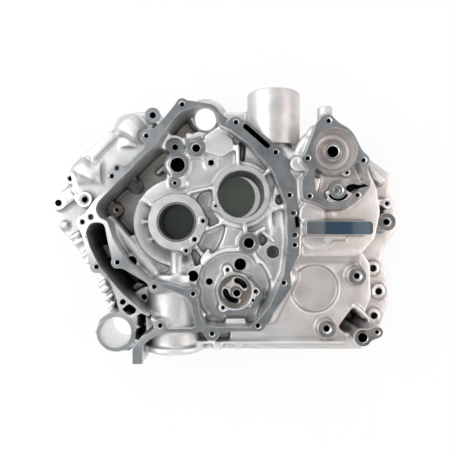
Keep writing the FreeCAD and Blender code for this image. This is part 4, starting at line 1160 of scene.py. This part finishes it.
# ---- floor, lamps, camera ----
studio = {"floorZ": -80.4, "floorColour": (0.93, 0.925, 0.92), "shadeColour": (0.60, 0.65, 0.60),
          "world": 0.34,
          "glow": 0.86, "glowSpots": [(-0.081, -0.137, 0.0225, 1.0, True),
                                      (0.0285, 0.136, 0.022, 1.0, True),
                                      (0.066, 0.033, 0.0275, 0.45, False)],
          "crescent": (0.099, 0.033, 0.06), "shadeMask": ((-0.42, 0.0, 0.0), (8.5, 12.0, 1.0)),
          "lamps": [(-0.86, 0.14, 0.72, 1.15, 10.6, (1.0, 1.0, 1.0)),
                    (0.95, -0.05, 0.66, 0.85, 5.4, (1.0, 0.91, 0.87)),
                    (0.10, 0.95, 0.70, 0.8, 3.6, (0.96, 0.98, 1.0)),
                    (0.05, -0.9, 0.7, 0.8, 3.0, (1.0, 0.99, 0.97))]}


def makeFloor():
    size = 3.0
    mesh = bpy.data.meshes.new("floor")
    z = studio["floorZ"] * mm
    corners = [(-size, -size, z), (size, -size, z), (size, size, z), (-size, size, z)]
    mesh.from_pydata(corners, [], [(0, 1, 2, 3)])
    floor = addObject("floor", mesh)
    material = bpy.data.materials.new("paperFloor")
    material.use_nodes = True
    tree = material.node_tree
    shader = tree.nodes["Principled BSDF"]
    shader.inputs["Roughness"].default_value = 0.9
    glow = tree.nodes.new("ShaderNodeEmission")
    glow.inputs["Strength"].default_value = 1.0
    light = tree.nodes.new("ShaderNodeLightPath")
    # under the part the floor stays plain and takes the darker painted shade colour, so that the bores look
    # dark
    place = tree.nodes.new("ShaderNodeTexCoord").outputs["Object"]
    moved = tree.nodes.new("ShaderNodeMapping")
    moved.inputs["Location"].default_value, moved.inputs["Scale"].default_value = studio["shadeMask"]
    tree.links.new(place, moved.inputs["Vector"])
    length = tree.nodes.new("ShaderNodeVectorMath")
    length.operation = "LENGTH"
    tree.links.new(moved.outputs[0], length.inputs[0])
    outer = mathNode(tree, "GREATER_THAN", length.outputs["Value"], 1.0)
    tone = mixColour(tree, outer, (*studio["shadeColour"], 1), (*studio["floorColour"], 1))
    tree.links.new(tone, shader.inputs["Base Color"])
    glowing = mathNode(tree, "MULTIPLY", outer, studio["glow"])
    # glowSpots: painted light, the floor glows fully where it shows through the ring bore and the tube, and
    # partly in a crescent right of the big bore
    for x, y, reach, strength, inside in studio["glowSpots"]:
        apart = tree.nodes.new("ShaderNodeVectorMath")
        apart.operation = "DISTANCE"
        tree.links.new(place, apart.inputs[0])
        apart.inputs[1].default_value = (x, y, studio["floorZ"] * mm)
        spot = mathNode(tree, "LESS_THAN" if inside else "GREATER_THAN", apart.outputs["Value"], reach)
        if not inside:      # painted pool of light: only the crescent of floor right of the big bore
            near = nearSpot(tree, place, *studio["crescent"], studio["floorZ"] * mm)
            spot = mathNode(tree, "MULTIPLY", spot, near)
        glowing = mathNode(tree, "MAXIMUM", glowing, mathNode(tree, "MULTIPLY", spot, strength))
    seen = mathNode(tree, "MAXIMUM", light.outputs["Is Camera Ray"], light.outputs["Is Glossy Ray"])
    factor = mathNode(tree, "MULTIPLY", seen, glowing)
    mix = tree.nodes.new("ShaderNodeMixShader")
    tree.links.new(factor, mix.inputs[0])
    tree.links.new(shader.outputs[0], mix.inputs[1])
    tree.links.new(glow.outputs[0], mix.inputs[2])
    tree.links.new(mix.outputs[0], tree.nodes["Material Output"].inputs["Surface"])
    mesh.materials.append(material)
    floor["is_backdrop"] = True


def makeLamps():
    world = bpy.data.worlds.new("studio")
    bpy.context.scene.world = world
    world.use_nodes = True
    tree = world.node_tree
    back = tree.nodes["Background"]
    back.inputs[0].default_value = (0.95, 0.96, 1.0, 1)
    back.inputs[1].default_value = studio["world"]
    for k, (x, y, z, size, power, colour) in enumerate(studio["lamps"]):
        lamp = bpy.data.lights.new(f"softBox{k}", "AREA")
        lamp.shape, lamp.size, lamp.energy, lamp.color = "SQUARE", size, power, colour
        thing = addObject(f"softBox{k}", lamp)
        thing.location = (x, y, z)
        aim = mathutils.Vector((0.055 - x, -y, -0.03 - z))
        thing.rotation_euler = aim.to_track_quat("-Z", "Y").to_euler()


def makeCamera():
    lens = bpy.data.cameras.new("topView")
    lens.sensor_fit = "HORIZONTAL"
    lens.sensor_width = 36.0
    lens.angle = 2 * math.atan(226 / (photo["cover"] / photo["scale"]))
    camera = addObject("topView", lens)
    camera.location = (photo["x"] * mm, photo["y"] * mm, photo["eye"] * mm)
    bpy.context.scene.camera = camera


makeFloor()
makeLamps()
makeCamera()
bpy.context.scene.view_settings.view_transform = "Standard"

visualBox = [list(corner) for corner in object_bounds()]
for label, corners in (("cad", cadBox), ("visual", visualBox)):
    print(label, np.round(np.array(corners) / mm, 1).tolist())
